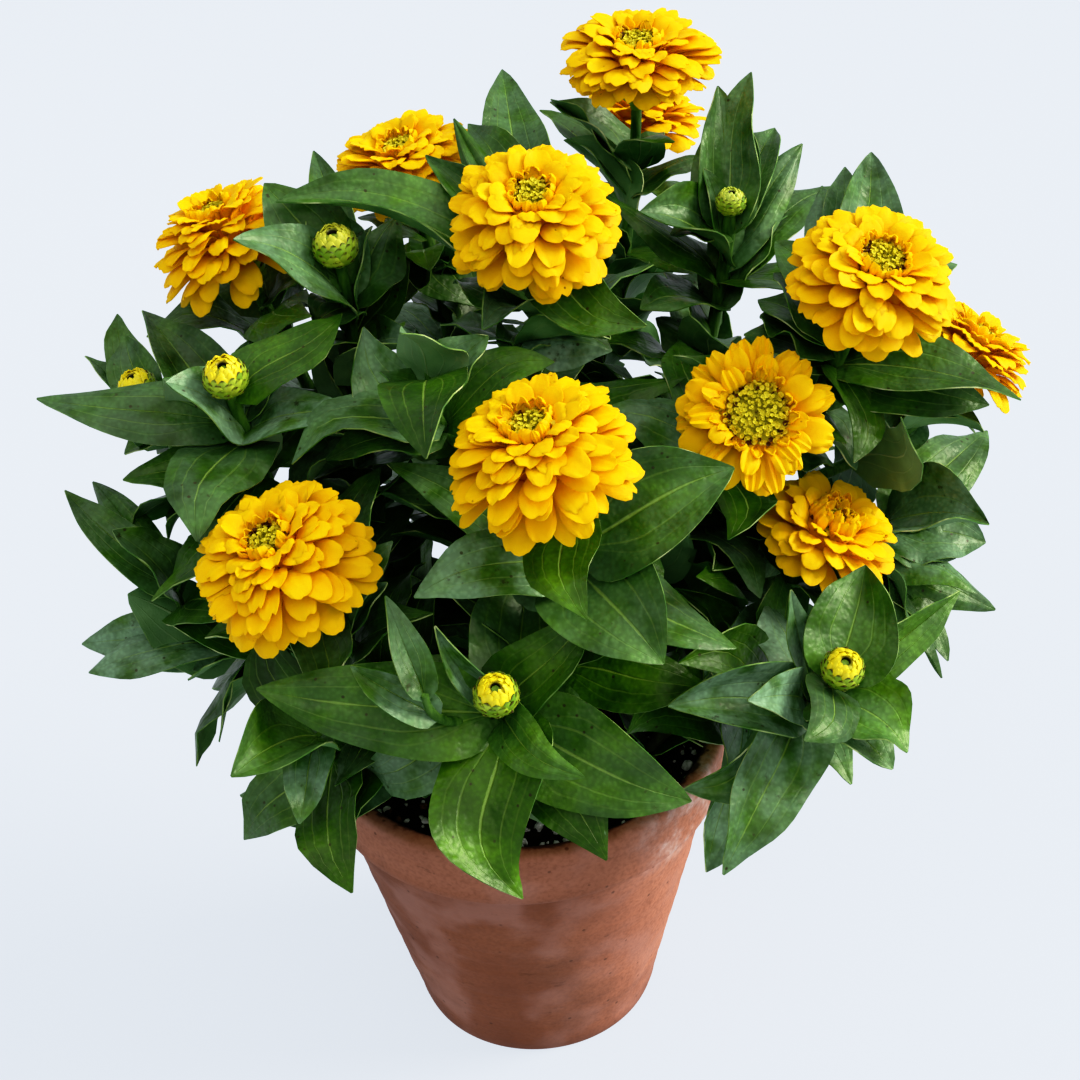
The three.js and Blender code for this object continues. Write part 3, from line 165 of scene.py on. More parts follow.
# Leaves read in the picture: shoot, where the midrib starts and ends, how much nearer the eye the tip is than
# the start, greatest width, arch along the length, roll about the midrib, fold up from the midrib, and how
# bright its green is, partly its own lighter green and partly painted light, and how thick its grey bloom is,
# partly wax and partly painted sheen, in hundredths. Some rows end with how far the blade sways to one side
# and how far its tip hooks down, in hundredths of the most that any leaf does
SEEN_LEAVES = [
    ("front", (478, 737), (254, 690), 12, 30, 30, -18, 14, 35, 10),
    ("front", (514, 722), (545, 549), -26, 38, 12, 8, 38, 35, 35),
    ("front", (500, 726), (573, 775), 38, 17, 45, 10, 20, 60, 10, 30, 100),
    ("front", (490, 742), (521, 901), 20, 35, 40, 0, 12, 35, 0, 100, 30),
    ("front", (512, 738), (692, 804), 12, 33, 30, 12, 12, 30, 10),
    ("front", (478, 735), (436, 628), 18, 11, -12, 0, 30, 20, 80),
    ("front_side", (440, 716), (350, 666), 4, 13, 30, 0, 22, 40, 70),
    ("front_side", (432, 700), (384, 598), -6, 12, 15, 0, 25, 40, 40),
    ("front_right", (822, 728), (791, 590), 20, 14, -8, 0, 26, 30, 60),
    ("front_right", (838, 690), (866, 565), -12, 31, 14, 0, 22, 35, 10),
    ("front_right", (846, 722), (960, 591), -10, 17, 20, 14, 24, 50, 10),
    ("front_right", (838, 718), (908, 752), 20, 30, 50, 6, 10, 60, 20),
    ("front_right", (806, 728), (748, 700), 44, 18, 50, 0, 0, 30, 100),
    ("front_right", (806, 742), (668, 706), 26, 24, 60, -5, 20, 35, 90),
    ("front_right", (802, 790), (726, 877), 30, 28, 45, 10, 14, 25, 60),
    ("front_right", (812, 690), (768, 604), -26, 28, 30, 0, 12, 15, 100),
    ("left", (236, 425), (167, 381), 24, 26, 25, -20, 12, 50, 90),
    ("left", (236, 430), (35, 397), 0, 22, 25, -22, 14, 10, 20),
    ("left", (258, 470), (122, 478), 14, 19, 35, -20, 16, 10, 10),
    ("left", (266, 470), (142, 310), -30, 26, 25, 0, 16, 10, 20),
    ("left", (262, 428), (352, 410), 20, 24, 45, 0, 10, 55, 90),
    ("left", (262, 420), (284, 332), -30, 18, 5, 0, 24, 20, 40),
    ("far_left", (142, 420), (116, 313), -20, 16, 10, 0, 20, 10, 20),
    ("far_left", (140, 440), (84, 354), -16, 10, 15, 0, 30, 10, 20),
    ("left_low", (168, 580), (63, 488), -8, 16, 20, -25, 24, 10, 20),
    ("left_low", (184, 570), (93, 482), -26, 16, 40, -20, 22, 10, 20),
    ("left_low", (190, 596), (113, 530), 22, 22, 30, -15, 16, 20, 40),
    ("left_low", (236, 660), (128, 594), 24, 31, 35, -18, 10, 15, 50),
    ("left_low", (220, 668), (82, 644), -10, 22, 30, -25, 10, 20, 90),
    ("low_left", (316, 738), (231, 774), 36, 26, 45, -12, 12, 50, 20),
    ("low_left", (318, 740), (299, 824), 20, 18, 40, 10, 20, 30, 80),
    ("lower_left", (330, 664), (386, 582), 14, 18, 40, 0, 30, 20, 70),
    ("upper", (497, 296), (291, 167), 12, 31, 40, 14, 12, 25, 15, 40, 0),
    ("back_left", (350, 310), (243, 220), 40, 27, 40, -12, 12, 30, 50),
    ("upper", (480, 260), (454, 119), -24, 15, 10, 0, 28, 15, 10),
    ("upper", (480, 280), (426, 150), -18, 15, 15, 0, 24, 15, 15),
    ("upper", (510, 260), (468, 119), -34, 24, 20, 0, 20, 15, 20),
    ("upper", (515, 250), (502, 70), -62, 26, 15, -10, 18, 20, 25, 0, 0),
    ("upper", (556, 340), (610, 338), 26, 28, 30, 0, 10, 15, 20),
    ("middle_left", (462, 388), (404, 330), 30, 24, 25, -10, 20, 50, 60),
    ("middle_left", (466, 390), (488, 336), 8, 20, 15, 0, 16, 40, 50),
    ("middle_left", (452, 412), (380, 372), 16, 18, 30, 0, 14, 20, 20),
    ("crown", (612, 190), (551, 99), 10, 24, 15, 0, 16, 10, 20),
    ("back_right", (722, 240), (751, 72), -6, 26, 10, -30, 16, 20, 30),
    ("back_right", (732, 240), (775, 122), -34, 18, 10, 0, 20, 20, 20),
    ("back_right", (738, 275), (802, 144), -10, 21, 20, 0, 22, 30, 40),
    ("back_right", (712, 262), (640, 212), 22, 28, 45, -10, 14, 20, 30),
    ("back_right", (712, 312), (640, 306), 22, 24, 40, 0, 10, 10, 20),
    ("right", (840, 330), (822, 186), -34, 20, 20, 0, 16, 20, 50),
    ("right", (856, 320), (872, 151), -40, 24, 15, 0, 18, 20, 40),
    ("right", (846, 372), (1021, 400), 16, 26, 35, 12, 14, 20, 10),
    ("inner_right", (690, 480), (592, 548), 10, 34, 20, 12, 10, 25, 10),
    ("inner_right", (720, 430), (676, 352), 10, 20, 40, 60, 30, 20, 10),
    ("right", (868, 350), (957, 264), -50, 22, 15, 0, 18, 20, 30),
    ("right_low", (880, 500), (987, 431), -36, 26, 35, 30, 12, 30, 30),
    ("right_low", (868, 520), (989, 523), 30, 28, 45, 35, 10, 20, 50),
    ("right_low", (880, 560), (975, 593), 20, 22, 40, 40, 10, 50, 70),
    ("right_low", (876, 590), (998, 608), -4, 20, 35, 40, 16, 30, 20),
    ("right_low", (862, 610), (948, 661), 12, 20, 45, 40, 10, 20, 20),
    ("centre", (520, 568), (413, 595), 20, 24, 40, -15, 8, 40, 60),
    ("centre", (566, 570), (664, 664), 22, 36, 60, 20, 10, 30, 20),
    ("centre", (540, 560), (735, 465), 4, 34, 25, 25, 12, 25, 15),
    ("centre", (532, 590), (387, 463), -18, 20, 30, -10, 14, 30, 30),
]
LEAF_KEYS = (
    *("shoot", "from", "to", "nearer", "width", "arch", "roll", "fold"),
    *("bright", "bloom", "sway", "hook"),
)

# Leaves read in the picture that only the scene has: they close the gaps between those above
MORE_LEAVES = [
    ("crown", (634, 168), (550, 102), 4, 28, 20, 0, 18, 10, 30),
    ("crown", (628, 222), (564, 140), 10, 26, 40, 10, 10, 10, 30),
    ("crown", (630, 205), (702, 155), 6, 24, 35, 0, 12, 10, 10),
    ("crown", (633, 170), (664, 132), -6, 14, 40, 0, 14, 10, 30),
    ("crown", (600, 380), (655, 345), 5, 26, 30, 0, 8, 5, 10),
    ("crown", (610, 335), (672, 268), 5, 26, 30, 0, 8, 5, 10),
    ("back_right", (720, 282), (834, 183), -20, 24, 25, 0, 14, 15, 20),
    ("back_right", (716, 305), (786, 214), 5, 26, 25, 0, 14, 10, 20),
    ("back_right", (705, 360), (656, 318), 0, 28, 30, 0, 8, 5, 10),
    ("back_right", (712, 330), (664, 272), 0, 28, 35, 0, 8, 10, 30),
    ("back_right", (724, 258), (704, 168), 12, 17, 10, 0, 20, 30, 30),
    ("right", (835, 360), (760, 316), -10, 32, 30, 0, 10, 5, 10),
    ("right", (842, 345), (774, 272), -14, 26, 30, 0, 10, 5, 10),
    ("right", (824, 380), (990, 404), 10, 24, 25, 30, 14, 10, 10),
    ("right", (812, 402), (856, 470), 10, 22, 30, 0, 10, 15, 40),
    ("far_right", (885, 443), (925, 404), -8, 18, 15, -30, 20, 60, 60),
    ("far_right", (900, 432), (984, 432), 10, 24, 45, 20, 12, 25, 20),
    ("right_low", (872, 545), (956, 558), 10, 26, 40, 30, 10, 20, 70),
    ("upper", (535, 330), (612, 350), 14, 28, 30, 10, 8, 15, 100),
    ("upper", (535, 345), (508, 366), 20, 20, 50, 0, 8, 20, 30),
    ("behind_left", (441, 300), (500, 312), 0, 30, 30, 0, 8, 10, 10),
    ("behind_left", (446, 325), (395, 292), 0, 28, 30, 0, 8, 5, 10),
    ("behind_left", (437, 275), (480, 262), 0, 26, 30, 0, 8, 5, 10),
    ("back_left", (350, 310), (398, 214), -10, 26, 20, 0, 20, 15, 20),
    ("back_left", (351, 325), (372, 226), 14, 16, 20, 0, 30, 25, 50),
    ("back_left", (349, 305), (300, 212), -10, 22, 20, 0, 20, 20, 40),
    ("back_left", (347, 292), (313, 147), -30, 16, 10, 0, 24, 10, 20),
    ("left", (262, 472), (163, 379), 30, 28, 30, 75, 16, 80, 100),
    ("back_left", (356, 420), (276, 388), 34, 22, 30, 65, 20, 80, 100),
    ("left", (290, 530), (352, 436), 10, 22, 20, 0, 20, 30, 60),
    ("left_low", (238, 650), (87, 669), 14, 26, 30, -10, 10, 20, 90),
    ("front_right", (725, 703), (768, 597), -6, 34, 25, -15, 12, 15, 90),
    ("front_right", (766, 701), (750, 740), 30, 24, 40, 0, 0, 40, 100),
    ("front_right", (760, 701), (712, 672), 14, 14, 30, 0, 10, 40, 80),
    ("front_right", (775, 701), (692, 796), 30, 28, 50, 0, 10, 35, 50, -50, 90),
    ("front_right", (742, 702), (706, 872), 16, 32, 40, 0, 12, 25, 80, 50, 0),
    ("front_right", (772, 735), (852, 784), 24, 18, 50, 0, 10, 60, 50),
    ("front_right", (818, 722), (893, 769), 20, 30, 40, 0, 12, 50, 60),
    ("front_right", (700, 710), (662, 760), 10, 24, 40, 0, 10, 15, 70),
    ("right_low", (880, 530), (986, 542), 0, 28, 35, 20, 10, 20, 60),
    ("right_low", (864, 556), (908, 622), 20, 20, 40, 0, 10, 30, 50),
    ("upper", (535, 300), (452, 280), -10, 26, 30, 0, 8, 10, 10),
    ("behind_left", (434, 262), (400, 292), 0, 22, 40, 0, 8, 10, 10),
    ("behind_left", (425, 235), (358, 216), 0, 22, 30, 0, 12, 10, 10),
    ("right", (850, 325), (776, 238), -20, 24, 25, 0, 10, 10, 10),
    ("right", (830, 370), (744, 334), -6, 26, 30, 0, 8, 5, 10),
    ("right", (787, 445), (834, 466), 4, 22, 30, 0, 8, 10, 30),
    ("back", (634, 200), (684, 182), 0, 24, 35, 0, 10, 10, 10),
    ("back", (607, 352), (664, 360), 0, 26, 30, 0, 8, 5, 10),
    ("back_right", (727, 239), (670, 233), 5, 22, 35, 0, 10, 10, 10),
    ("far_left", (218, 490), (166, 540), 10, 24, 40, 0, 10, 10, 10),
    ("far_left", (146, 412), (128, 330), -10, 18, 15, 0, 14, 20, 30),
    ("left_back", (265, 310), (300, 276), 10, 16, 30, 0, 10, 10, 20),
    ("front_right", (725, 703), (735, 754), 12, 20, 40, 0, 8, 10, 60),
    ("back_left", (346, 285), (289, 168), 20, 28, 30, 0, 12, 25, 15),
    ("far_left", (175, 445), (124, 453), 10, 20, 40, 0, 10, 10, 10),
    ("crown", (605, 366), (664, 368), 5, 26, 30, 0, 8, 5, 10),
    ("far_right", (925, 410), (977, 432), 0, 18, 30, 0, 10, 20, 30),
    ("right", (842, 345), (758, 297), -20, 26, 30, 0, 8, 10, 10),
    ("right", (852, 316), (846, 165), -40, 20, 10, 0, 16, 10, 30),
    ("right_low", (868, 575), (942, 678), 12, 22, 40, 0, 10, 20, 30),
    ("back_right", (726, 240), (718, 86), -10, 22, 10, 0, 16, 15, 20),
    ("behind_left", (430, 250), (474, 306), 8, 30, 30, 0, 0, 10, 10),
    ("behind_left", (430, 250), (402, 304), 8, 24, 30, 0, 0, 10, 10),
    ("crown", (634, 200), (541, 108), -10, 28, 15, 0, 20, 10, 20),
    ("back_left", (348, 306), (314, 324), 10, 22, 40, 0, 8, 10, 20),
]

# Leaves set by rule on the rest of each shoot: opposite pairs, each pair square to the last
PAIRS = {
    "spacing": 35.5,
    "stagger": 2,
    "clear_of_soil": 38,
    "clear_of_fork": 14.4,
    "clear_of_head": 8,
    "length": 62,
    "shortest": 40,
    "length_spread": 9,
    "shortening": 14,
    "width_share": 0.45,
    "lift": 22,
    "lift_spread": 16,
    "arch": 34,
    "arch_spread": 16,
    "roll_spread": 10,
    "fold": 5,
    "lowest_tip": 158,
    "widest_tip": 142,
    "lengths": (1, 0.75),
    "rounds": 5,
    "first_draw": 7,
}

# Shorter pairs that only the scene has: they stand between those above and hide the stems, as on a real plant
INFILL = {
    **PAIRS,
    "spacing": 20,
    "clear_of_soil": 22,
    "clear_of_fork": 8,
    "clear_of_head": 5,
    "length": 56,
    "shortest": 34,
    "length_spread": 12,
    "shortening": 8,
    "width_share": 0.5,
    "lift": 34,
    "lift_spread": 30,
    "lowest_tip": 146,
    "lengths": (1, 0.7),
    "rounds": 3,
    "first_draw": 60,
}

# Steps by which a leaf turns about its own start until it clears all that belongs to other plants
TURNS = {"step": 8, "directions": 8}

# Plain blades of the placing rule: half thickness, room kept round each, and shares where sections stand
BLADE = {"half": 0.6, "room": 0.8, "clear_share": 0.1, "seen_shares": (0.24, 0.6), "rule_shares": (0.32,)}

# Heights along a bloom's axis from its middle: green cup, then the core that the petals stand out of
CUP = {
    "foot": -20,
    "foot_radius": 2.8,
    "sunk": 3,
    "waist": -14,
    "waist_radius": 5.5,
    "top": -8,
    "top_radius": 8.5,
}
CORE = {
    "foot": -7.7,
    "foot_radius": 8,
    "wall_radius": 13.5,
    "wall_height": -1,
    "below_dome": 6,
    "past_disc": 1.5,
    "root_share": 0.78,
}

# Petals: climb of the lowest and highest above the bloom's middle, and the reach and roots of the spiral
LOWEST_PETAL = math.radians(-25)
HIGHEST_PETAL = math.radians(68)
PETAL = {"clear_of_disc": 6.5, "lowest_root": -5, "highest_root": -1.5, "drawn_in": 0.98}

# Room kept round each head and the rim and soil while leaves find their places, and how many sides it has
ROOM = {
    "margin": 2,
    "wall": 1,
    "rim": 1.5,
    "soil_rise": 1.3,
    "soil_depth": 20,
    "head_sides": 12,
    "pot_sides": 13,
    "shoulder": 0.8,
    "dome": 0.75,
}
BUD_ROOM = ((0, -0.6), (0.8, -0.6), (1.15, 0), (0.95, 0.8), (0, 1.1))
BUD_SUNK = 0.8

# Sight of each head, which no leaf set by rule may hide: how far it reaches to the eye, and how wide it is
SIGHT = {"reach": 110, "sides": 8, "bud_wide": 1.1, "far_share": 0.85, "share": 0.92}

# Places along a shoot where a leaf read in the picture may start
ALONG = {"samples": 41, "first": 0.04, "last": 0.98}


def draw_from(seed):
    """Repeatable draws from 0 to 1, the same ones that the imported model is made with"""
    state = seed

    def draw():
        nonlocal state
        state = (state * 1664525 + 1013904223) % 4294967296
        return state / 4294967296

    return draw


def either_way(draw):
    """A draw from -1 to 1"""
    return 2 * draw() - 1


def point(x, y, z):
    return np.array((x, y, z), float)


def unit(vector):
    return vector / np.linalg.norm(vector)


def lerp(first, last, share):
    return first + (last - first) * share


def rotated(vector, axis, angle):
    """A vector turned about a unit axis"""
    turned = vector * math.cos(angle) + np.cross(axis, vector) * math.sin(angle)
    return turned + axis * (axis @ vector) * (1 - math.cos(angle))


def smooth_step(value, low, high):
    share = np.clip((value - low) / (high - low), 0, 1)
    return share * share * (3 - 2 * share)


# The photograph's sight lines

EYE = point(*CAMERA["eye"])


def camera_directions():
    """Forward, right and up directions of the photograph's camera"""
    pitch = math.radians(CAMERA["pitch"])
    roll = math.radians(CAMERA["roll"])
    forward = point(0, math.cos(pitch), -math.sin(pitch))
    level = point(1, 0, 0)
    over = point(0, math.sin(pitch), math.cos(pitch))
    right = level * math.cos(roll) + over * math.sin(roll)
    up = over * math.cos(roll) - level * math.sin(roll)
    return forward, right, up


FORWARD, RIGHT, ABOVE = camera_directions()


def sight_line(see):
    left, top = see
    across = RIGHT * ((left - CAMERA["middle"]) / CAMERA["focal"])
    upward = ABOVE * ((CAMERA["middle"] - top) / CAMERA["focal"])
    return FORWARD + across + upward


def place_at_y(see, y):
    line = sight_line(see)
    return EYE + line * ((y - EYE[1]) / line[1])


# Heads and shoots


def heads_from(table, keys):
    heads = {}
    for name, row in table.items():
        head = dict(zip(keys, row))
        head["name"] = name
        head["place"] = place_at_y(head["see"], head["y"])
        head["axis"] = unit(point(head["lean"][0], head["lean"][1], 1))
        heads[name] = head
    return heads


blooms = heads_from(BLOOMS, BLOOM_KEYS)
buds = heads_from(BUDS, BUD_KEYS)


def soil_height(radius):
    return SOIL["top"] + SOIL["mound"] * (1 - (radius / POT["lip_inner_radius"]) ** 2)


class Curve:
    """A cubic curve through space, measured in 200 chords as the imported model's is"""

    def __init__(self, *controls):
        self.controls = np.array(controls)
        self.shares = np.linspace(0, 1, 201)
        chords = np.linalg.norm(np.diff(self.points(self.shares), axis=0), axis=1)
        self.lengths = np.concatenate(([0], np.cumsum(chords)))
        self.length = self.lengths[-1]

    def points(self, shares):
        t = np.asarray(shares, float)[..., None]
        a, b, c, d = self.controls
        return a * (1 - t) ** 3 + b * 3 * t * (1 - t) ** 2 + c * 3 * t * t * (1 - t) + d * t**3

    def point(self, share):
        return self.points(share)

    def tangent(self, share):
        before = max(0, share - 0.0001)
        after = min(1, share + 0.0001)
        return unit(self.points(after) - self.points(before))

    def share_at(self, run):
        return float(np.interp(run, self.lengths, self.shares))


def route_of(shoot, routes):
    name, plant, origin, goal = shoot
    kind = goal[0]
    head = None
    axis = UP
    if kind == "tip":
        end = place_at_y(goal[1], goal[2])
    else:
        head = blooms[goal[1]] if kind == "bloom" else buds[goal[1]]
        axis = head["axis"]
        below = CUP["foot"] + CUP["sunk"] if kind == "bloom" else -BUD_SUNK * head["radius"]
        end = head["place"] + axis * below
    in_soil = not isinstance(origin[0], str)
    if in_soil:
        x, y = origin
        start = point(x, y, soil_height(math.hypot(x, y)) - SOIL["hole_depth"] + SOIL["seat"])
        set_off = unit(point(x, y, 0) * STEM["splay"] + UP)
    else:
        parent = routes[origin[0]]["curve"]
        start = parent.point(origin[1])
        set_off = unit(parent.tangent(origin[1]) + unit(end - start))
    reach = np.linalg.norm(end - start) * STEM["hold"]
    curve = Curve(start, start + set_off * reach, end - axis * reach, end)
    return {"name": name, "plant": plant, "soil": in_soil, "kind": kind, "head": head, "curve": curve}


routes = {}
for shoot in SHOOTS:
    routes[shoot[0]] = route_of(shoot, routes)
PLANTS = list(dict.fromkeys(route["plant"] for route in routes.values()))


# Blades: leaves, petals and scales bend along an arc from start to tip


def blade_frame(blade):
    chord = blade["tip"] - blade["start"]
    span = np.linalg.norm(chord)
    along = chord / span
    face = unit(blade["face"] - along * (blade["face"] @ along))
    face = rotated(face, along, math.radians(blade["roll"]))
    half = math.radians(blade["arch"]) / 2 or 1e-6
    length = span * half / math.sin(half)
    first = along * math.cos(half) + face * math.sin(half)
    over = face * math.cos(half) - along * math.sin(half)
    return first, over, length, half * 2


def bent(blade, across, along, above):
    """Places on a blade's arc, given in mm across, share along and mm above the midrib"""
    first, over, length, turn = blade_frame(blade)
    angle = turn * along
    run = length * np.sin(angle) / turn + above * np.sin(angle)
    rise = -length * (1 - np.cos(angle)) / turn + above * np.cos(angle)
    side = np.cross(first, over)
    return blade["start"] + run[:, None] * first + rise[:, None] * over + across[:, None] * side


def leaf_outline(share):
    """Half width of a packed leaf along its length, in shares of the greatest"""
    return 2.385 * (share + 0.02) ** 0.45 * (1 - share)


def loft_faces(sides, rings, start_point, end_point):
    """Triangles through rings of points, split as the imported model's are"""
    faces = []
    for row in range(rings - 1):
        for side in range(sides):
            following = (side + 1) % sides
            a, b = row * sides + side, row * sides + following
            c, d = a + sides, b + sides
            faces += [(a, b, d), (a, d, c)] if side % 2 == 0 else [(a, b, c), (b, d, c)]
    last = (rings - 1) * sides
    pole = rings * sides
    if start_point:
        faces += [(pole, (side + 1) % sides, side) for side in range(sides)]
        pole += 1
    else:
        faces += [(0, side + 1, side) for side in range(1, sides - 1)]
    if end_point:
        faces += [(pole, last + side, last + (side + 1) % sides) for side in range(sides)]
    else:
        faces += [(last, last + side, last + side + 1) for side in range(1, sides - 1)]
    return faces


class Shape:
    """A plain closed shape that can be tested for crossing another"""

    def __init__(self, places, faces):
        self.low = places.min(0)
        self.high = places.max(0)
        self.tree = BVHTree.FromPolygons([tuple(place) for place in places], faces, all_triangles=True)

    def crosses(self, other):
        if (self.low > other.high).any() or (other.low > self.high).any():
            return False
        return bool(self.tree.overlap(other.tree))


def plain_leaf(leaf):
    """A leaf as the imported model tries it: a thin closed blade grown by the room kept round it"""
    room = BLADE["room"]
    fold = math.radians(leaf["fold"])
    shares = (BLADE["clear_share"], *(BLADE["rule_shares"] if leaf["by_rule"] else BLADE["seen_shares"]), 1.0)
    places = []
    for share in shares:
        width = leaf["width"] / 2 * leaf_outline(share) + room if share < 1 else room
        half = BLADE["half"] + room if share < 1 else room
        across = np.array((-width * math.cos(fold), 0, width * math.cos(fold), 0))
        above = np.array((width * math.sin(fold), half, width * math.sin(fold), -half))
        places.append(bent(leaf, across, np.full(4, share), above))
    tip = places.pop().mean(0)
    rings = len(places)
    return Shape(np.vstack([*places, tip]), loft_faces(4, rings, False, True))


def frames_along(curve, steps):
    """Middles of a curve at even steps, each with two directions square to it that do not twist about it"""
    across = point(1, 0, 0)
    for step in range(steps + 1):
        along = curve.tangent(step / steps)
        across = unit(across - along * (across @ along))
        yield curve.point(step / steps), across, np.cross(along, across)


def plain_stem(route):
    """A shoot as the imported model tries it: a square rod grown by the room kept round it"""
    room = BLADE["room"]
    foot = (STEM["foot_radius"] if route["soil"] else STEM["branch_radius"]) + room
    top = (STEM["head_radius"] if route["head"] else STEM["tip_radius"]) + room
    steps = 5
    places = []
    for step, (middle, across, other) in enumerate(frames_along(route["curve"], steps)):
        radius = lerp(foot, top, step / steps)
        for side in range(4):
            angle = side * math.pi / 2
            places.append(middle + across * radius * math.cos(angle) + other * radius * math.sin(angle))
    return Shape(np.array(places), loft_faces(4, steps + 1, False, False))


def turn_to(axis):
    """Matrix that turns straight up to an axis by the shortest way"""
    return np.array(Vector((0, 0, 1)).rotation_difference(Vector(axis)).to_matrix())


def plain_round(profile, sides, place, axis):
    """A closed turned shape from radius and height pairs, whose first and last lie on its axis"""
    turn = turn_to(axis)
    rings = []
    for row, (radius, height) in enumerate(profile[1:-1]):
        for side in range(sides):
            angle = (side + row / 2) * 2 * math.pi / sides
            rings.append((radius * math.cos(angle), radius * math.sin(angle), height))
    rings.append((0, 0, profile[0][1]))
    rings.append((0, 0, profile[-1][1]))
    places = np.array(rings) @ turn.T + place
    return Shape(places, loft_faces(sides, len(profile) - 2, True, True))


def bloom_room(bloom):
    reach, rise, hang, disc = (bloom[key] for key in ("reach", "rise", "hang", "disc"))
    margin = ROOM["margin"]
    profile = [
        (0, CUP["top"] - BLADE["room"]),
        (CUP["top_radius"], CUP["top"] - BLADE["room"]),
        (reach * ROOM["shoulder"], -hang - margin),
        (reach + margin, -hang),
        (reach + margin, margin),
        (reach * ROOM["shoulder"], rise * ROOM["dome"] + margin),
        (disc + PETAL["clear_of_disc"], rise + margin),
        (0, rise + margin),
    ]
    return plain_round(profile, ROOM["head_sides"], bloom["place"], bloom["axis"])


def bud_room(bud):
    profile = [(out * bud["radius"], height * bud["radius"]) for out, height in BUD_ROOM]
    return plain_round(profile, ROOM["head_sides"], bud["place"], bud["axis"])


def sight_of(head):
    """A tapered column from a head towards the photograph's eye"""
    wide = head["reach"] * SIGHT["share"] if "reach" in head else head["radius"] * SIGHT["bud_wide"]
    profile = [(0, 0), (wide, 0), (wide * SIGHT["far_share"], SIGHT["reach"]), (0, SIGHT["reach"])]
    return plain_round(profile, SIGHT["sides"], head["place"], unit(EYE - head["place"]))


def lathe_ring(radius, height):
    sides = ROOM["pot_sides"]
    angles = np.arange(sides) * 2 * math.pi / sides
    return np.stack((radius * np.sin(angles), -radius * np.cos(angles), np.full(sides, height)), 1)


def rim_room():
    inner, outer = POT["lip_inner_radius"] - ROOM["wall"], POT["lip_outer_radius"] + ROOM["rim"]
    foot, top = POT["height"] - POT["band_height"], POT["height"] + ROOM["rim"]
    corners = [(inner, foot), (outer, foot), (outer, top), (inner, top)]
    places = np.vstack([lathe_ring(*corner) for corner in corners])
    sides = ROOM["pot_sides"]
    faces = []
    for row in range(len(corners)):
        next_row = (row + 1) % len(corners)
        for side in range(sides):
            next_side = (side + 1) % sides
            a, b = row * sides + side, row * sides + next_side
            c, d = next_row * sides + side, next_row * sides + next_side
            faces += [(a, b, c), (b, d, c)]
    return Shape(places, faces)


def soil_room():
    wall = POT["lip_inner_radius"] - ROOM["wall"]
    top = SOIL["top"] + ROOM["soil_rise"] + ROOM["wall"]
    foot = top - ROOM["soil_depth"]
    poles = [point(0, 0, foot), point(0, 0, top + SOIL["mound"])]
    places = np.vstack([lathe_ring(wall, foot), lathe_ring(wall, top), *poles])
    return Shape(places, loft_faces(ROOM["pot_sides"], 2, True, True))


def turns_in_order(rounds):
    """Swings and lifts to try in degrees, none at first and then in wider and wider circles"""
    turns = [(0, 0)]
    for turn_round in range(1, rounds + 1):
        for direction in range(TURNS["directions"]):
            angle = direction * 2 * math.pi / TURNS["directions"]
            size = turn_round * TURNS["step"]
            turns.append((size * math.sin(angle), size * math.cos(angle)))
    return turns


def turned_leaf(leaf, swing, lift, shorter):
    chord = (leaf["tip"] - leaf["start"]) * shorter
    side = unit(np.cross(leaf["face"], chord))
    chord = rotated(chord, side, -math.radians(lift))
    chord = rotated(chord, leaf["face"], math.radians(swing))
    return {**leaf, "tip": leaf["start"] + chord, "width": leaf["width"] * shorter}


class Thicket:
    """All that the leaves must clear, and the leaves placed so far"""

    def __init__(self):
        self.things = [(route["plant"], True, plain_stem(route)) for route in routes.values()]
        self.things += [(None, False, bloom_room(bloom)) for bloom in blooms.values()]
        self.things += [(None, False, bud_room(bud)) for bud in buds.values()]
        self.things += [(None, False, rim_room()), (None, False, soil_room())]
        self.lows = [thing.low for _, _, thing in self.things]
        self.highs = [thing.high for _, _, thing in self.things]
        self.sights = [sight_of(head) for head in (*blooms.values(), *buds.values())]
        self.leaves = []

    def near(self, shape):
        """The things whose boxes meet a shape's box"""
        apart = (np.array(self.lows) > shape.high).any(1) | (np.array(self.highs) < shape.low).any(1)
        return [self.things[index] for index in np.flatnonzero(~apart)]

    def clears(self, leaf, shape):
        if leaf["by_rule"]:
            tip = leaf["tip"]
            if tip[2] < leaf["lowest_tip"] or math.hypot(tip[0], tip[1]) > PAIRS["widest_tip"]:
                return False
            if any(shape.crosses(sight) for sight in self.sights):
                return False
        for plant, is_stem, thing in self.near(shape):
            passed = plant == leaf["plant"] and (is_stem or not leaf["by_rule"])
            if not passed and shape.crosses(thing):
                return False
        return True

    def place(self, leaf, rule):
        """Keeps the first turn of a leaf that clears all else, and drops a leaf that finds no room"""
        for shorter in rule["lengths"]:
            for swing, lift in turns_in_order(rule["rounds"]):
                candidate = turned_leaf(leaf, swing, lift, shorter)
                shape = plain_leaf(candidate)
                if self.clears(candidate, shape):
                    self.leaves.append(candidate)
                    self.things.append((leaf["plant"], False, shape))
                    self.lows.append(shape.low)
                    self.highs.append(shape.high)
                    return


def nearest_on_shoot(curve, see):
    """Share of a curve's length that passes nearest to a sight line"""
    line = unit(sight_line(see))
    shares = np.linspace(ALONG["first"], ALONG["last"], ALONG["samples"])
    away = curve.points(shares) - EYE
    gaps = (away**2).sum(1) - (away @ line) ** 2
    return float(shares[gaps.argmin()])


def seen_leaf(row):
    """A leaf read in the picture, set at the depth of its start on the shoot"""
    leaf = dict(zip(LEAF_KEYS, row))
    route = routes[leaf["shoot"]]
    share = nearest_on_shoot(route["curve"], leaf["from"])
    start = route["curve"].point(share)
    depth = (start - EYE) @ FORWARD - leaf["nearer"]
    leaf["start"] = start
    leaf["tip"] = EYE + sight_line(leaf["to"]) * depth
    leaf["face"] = route["curve"].tangent(share)
    leaf["share"] = share
    leaf["plant"] = route["plant"]
    leaf["by_rule"] = False
    return leaf


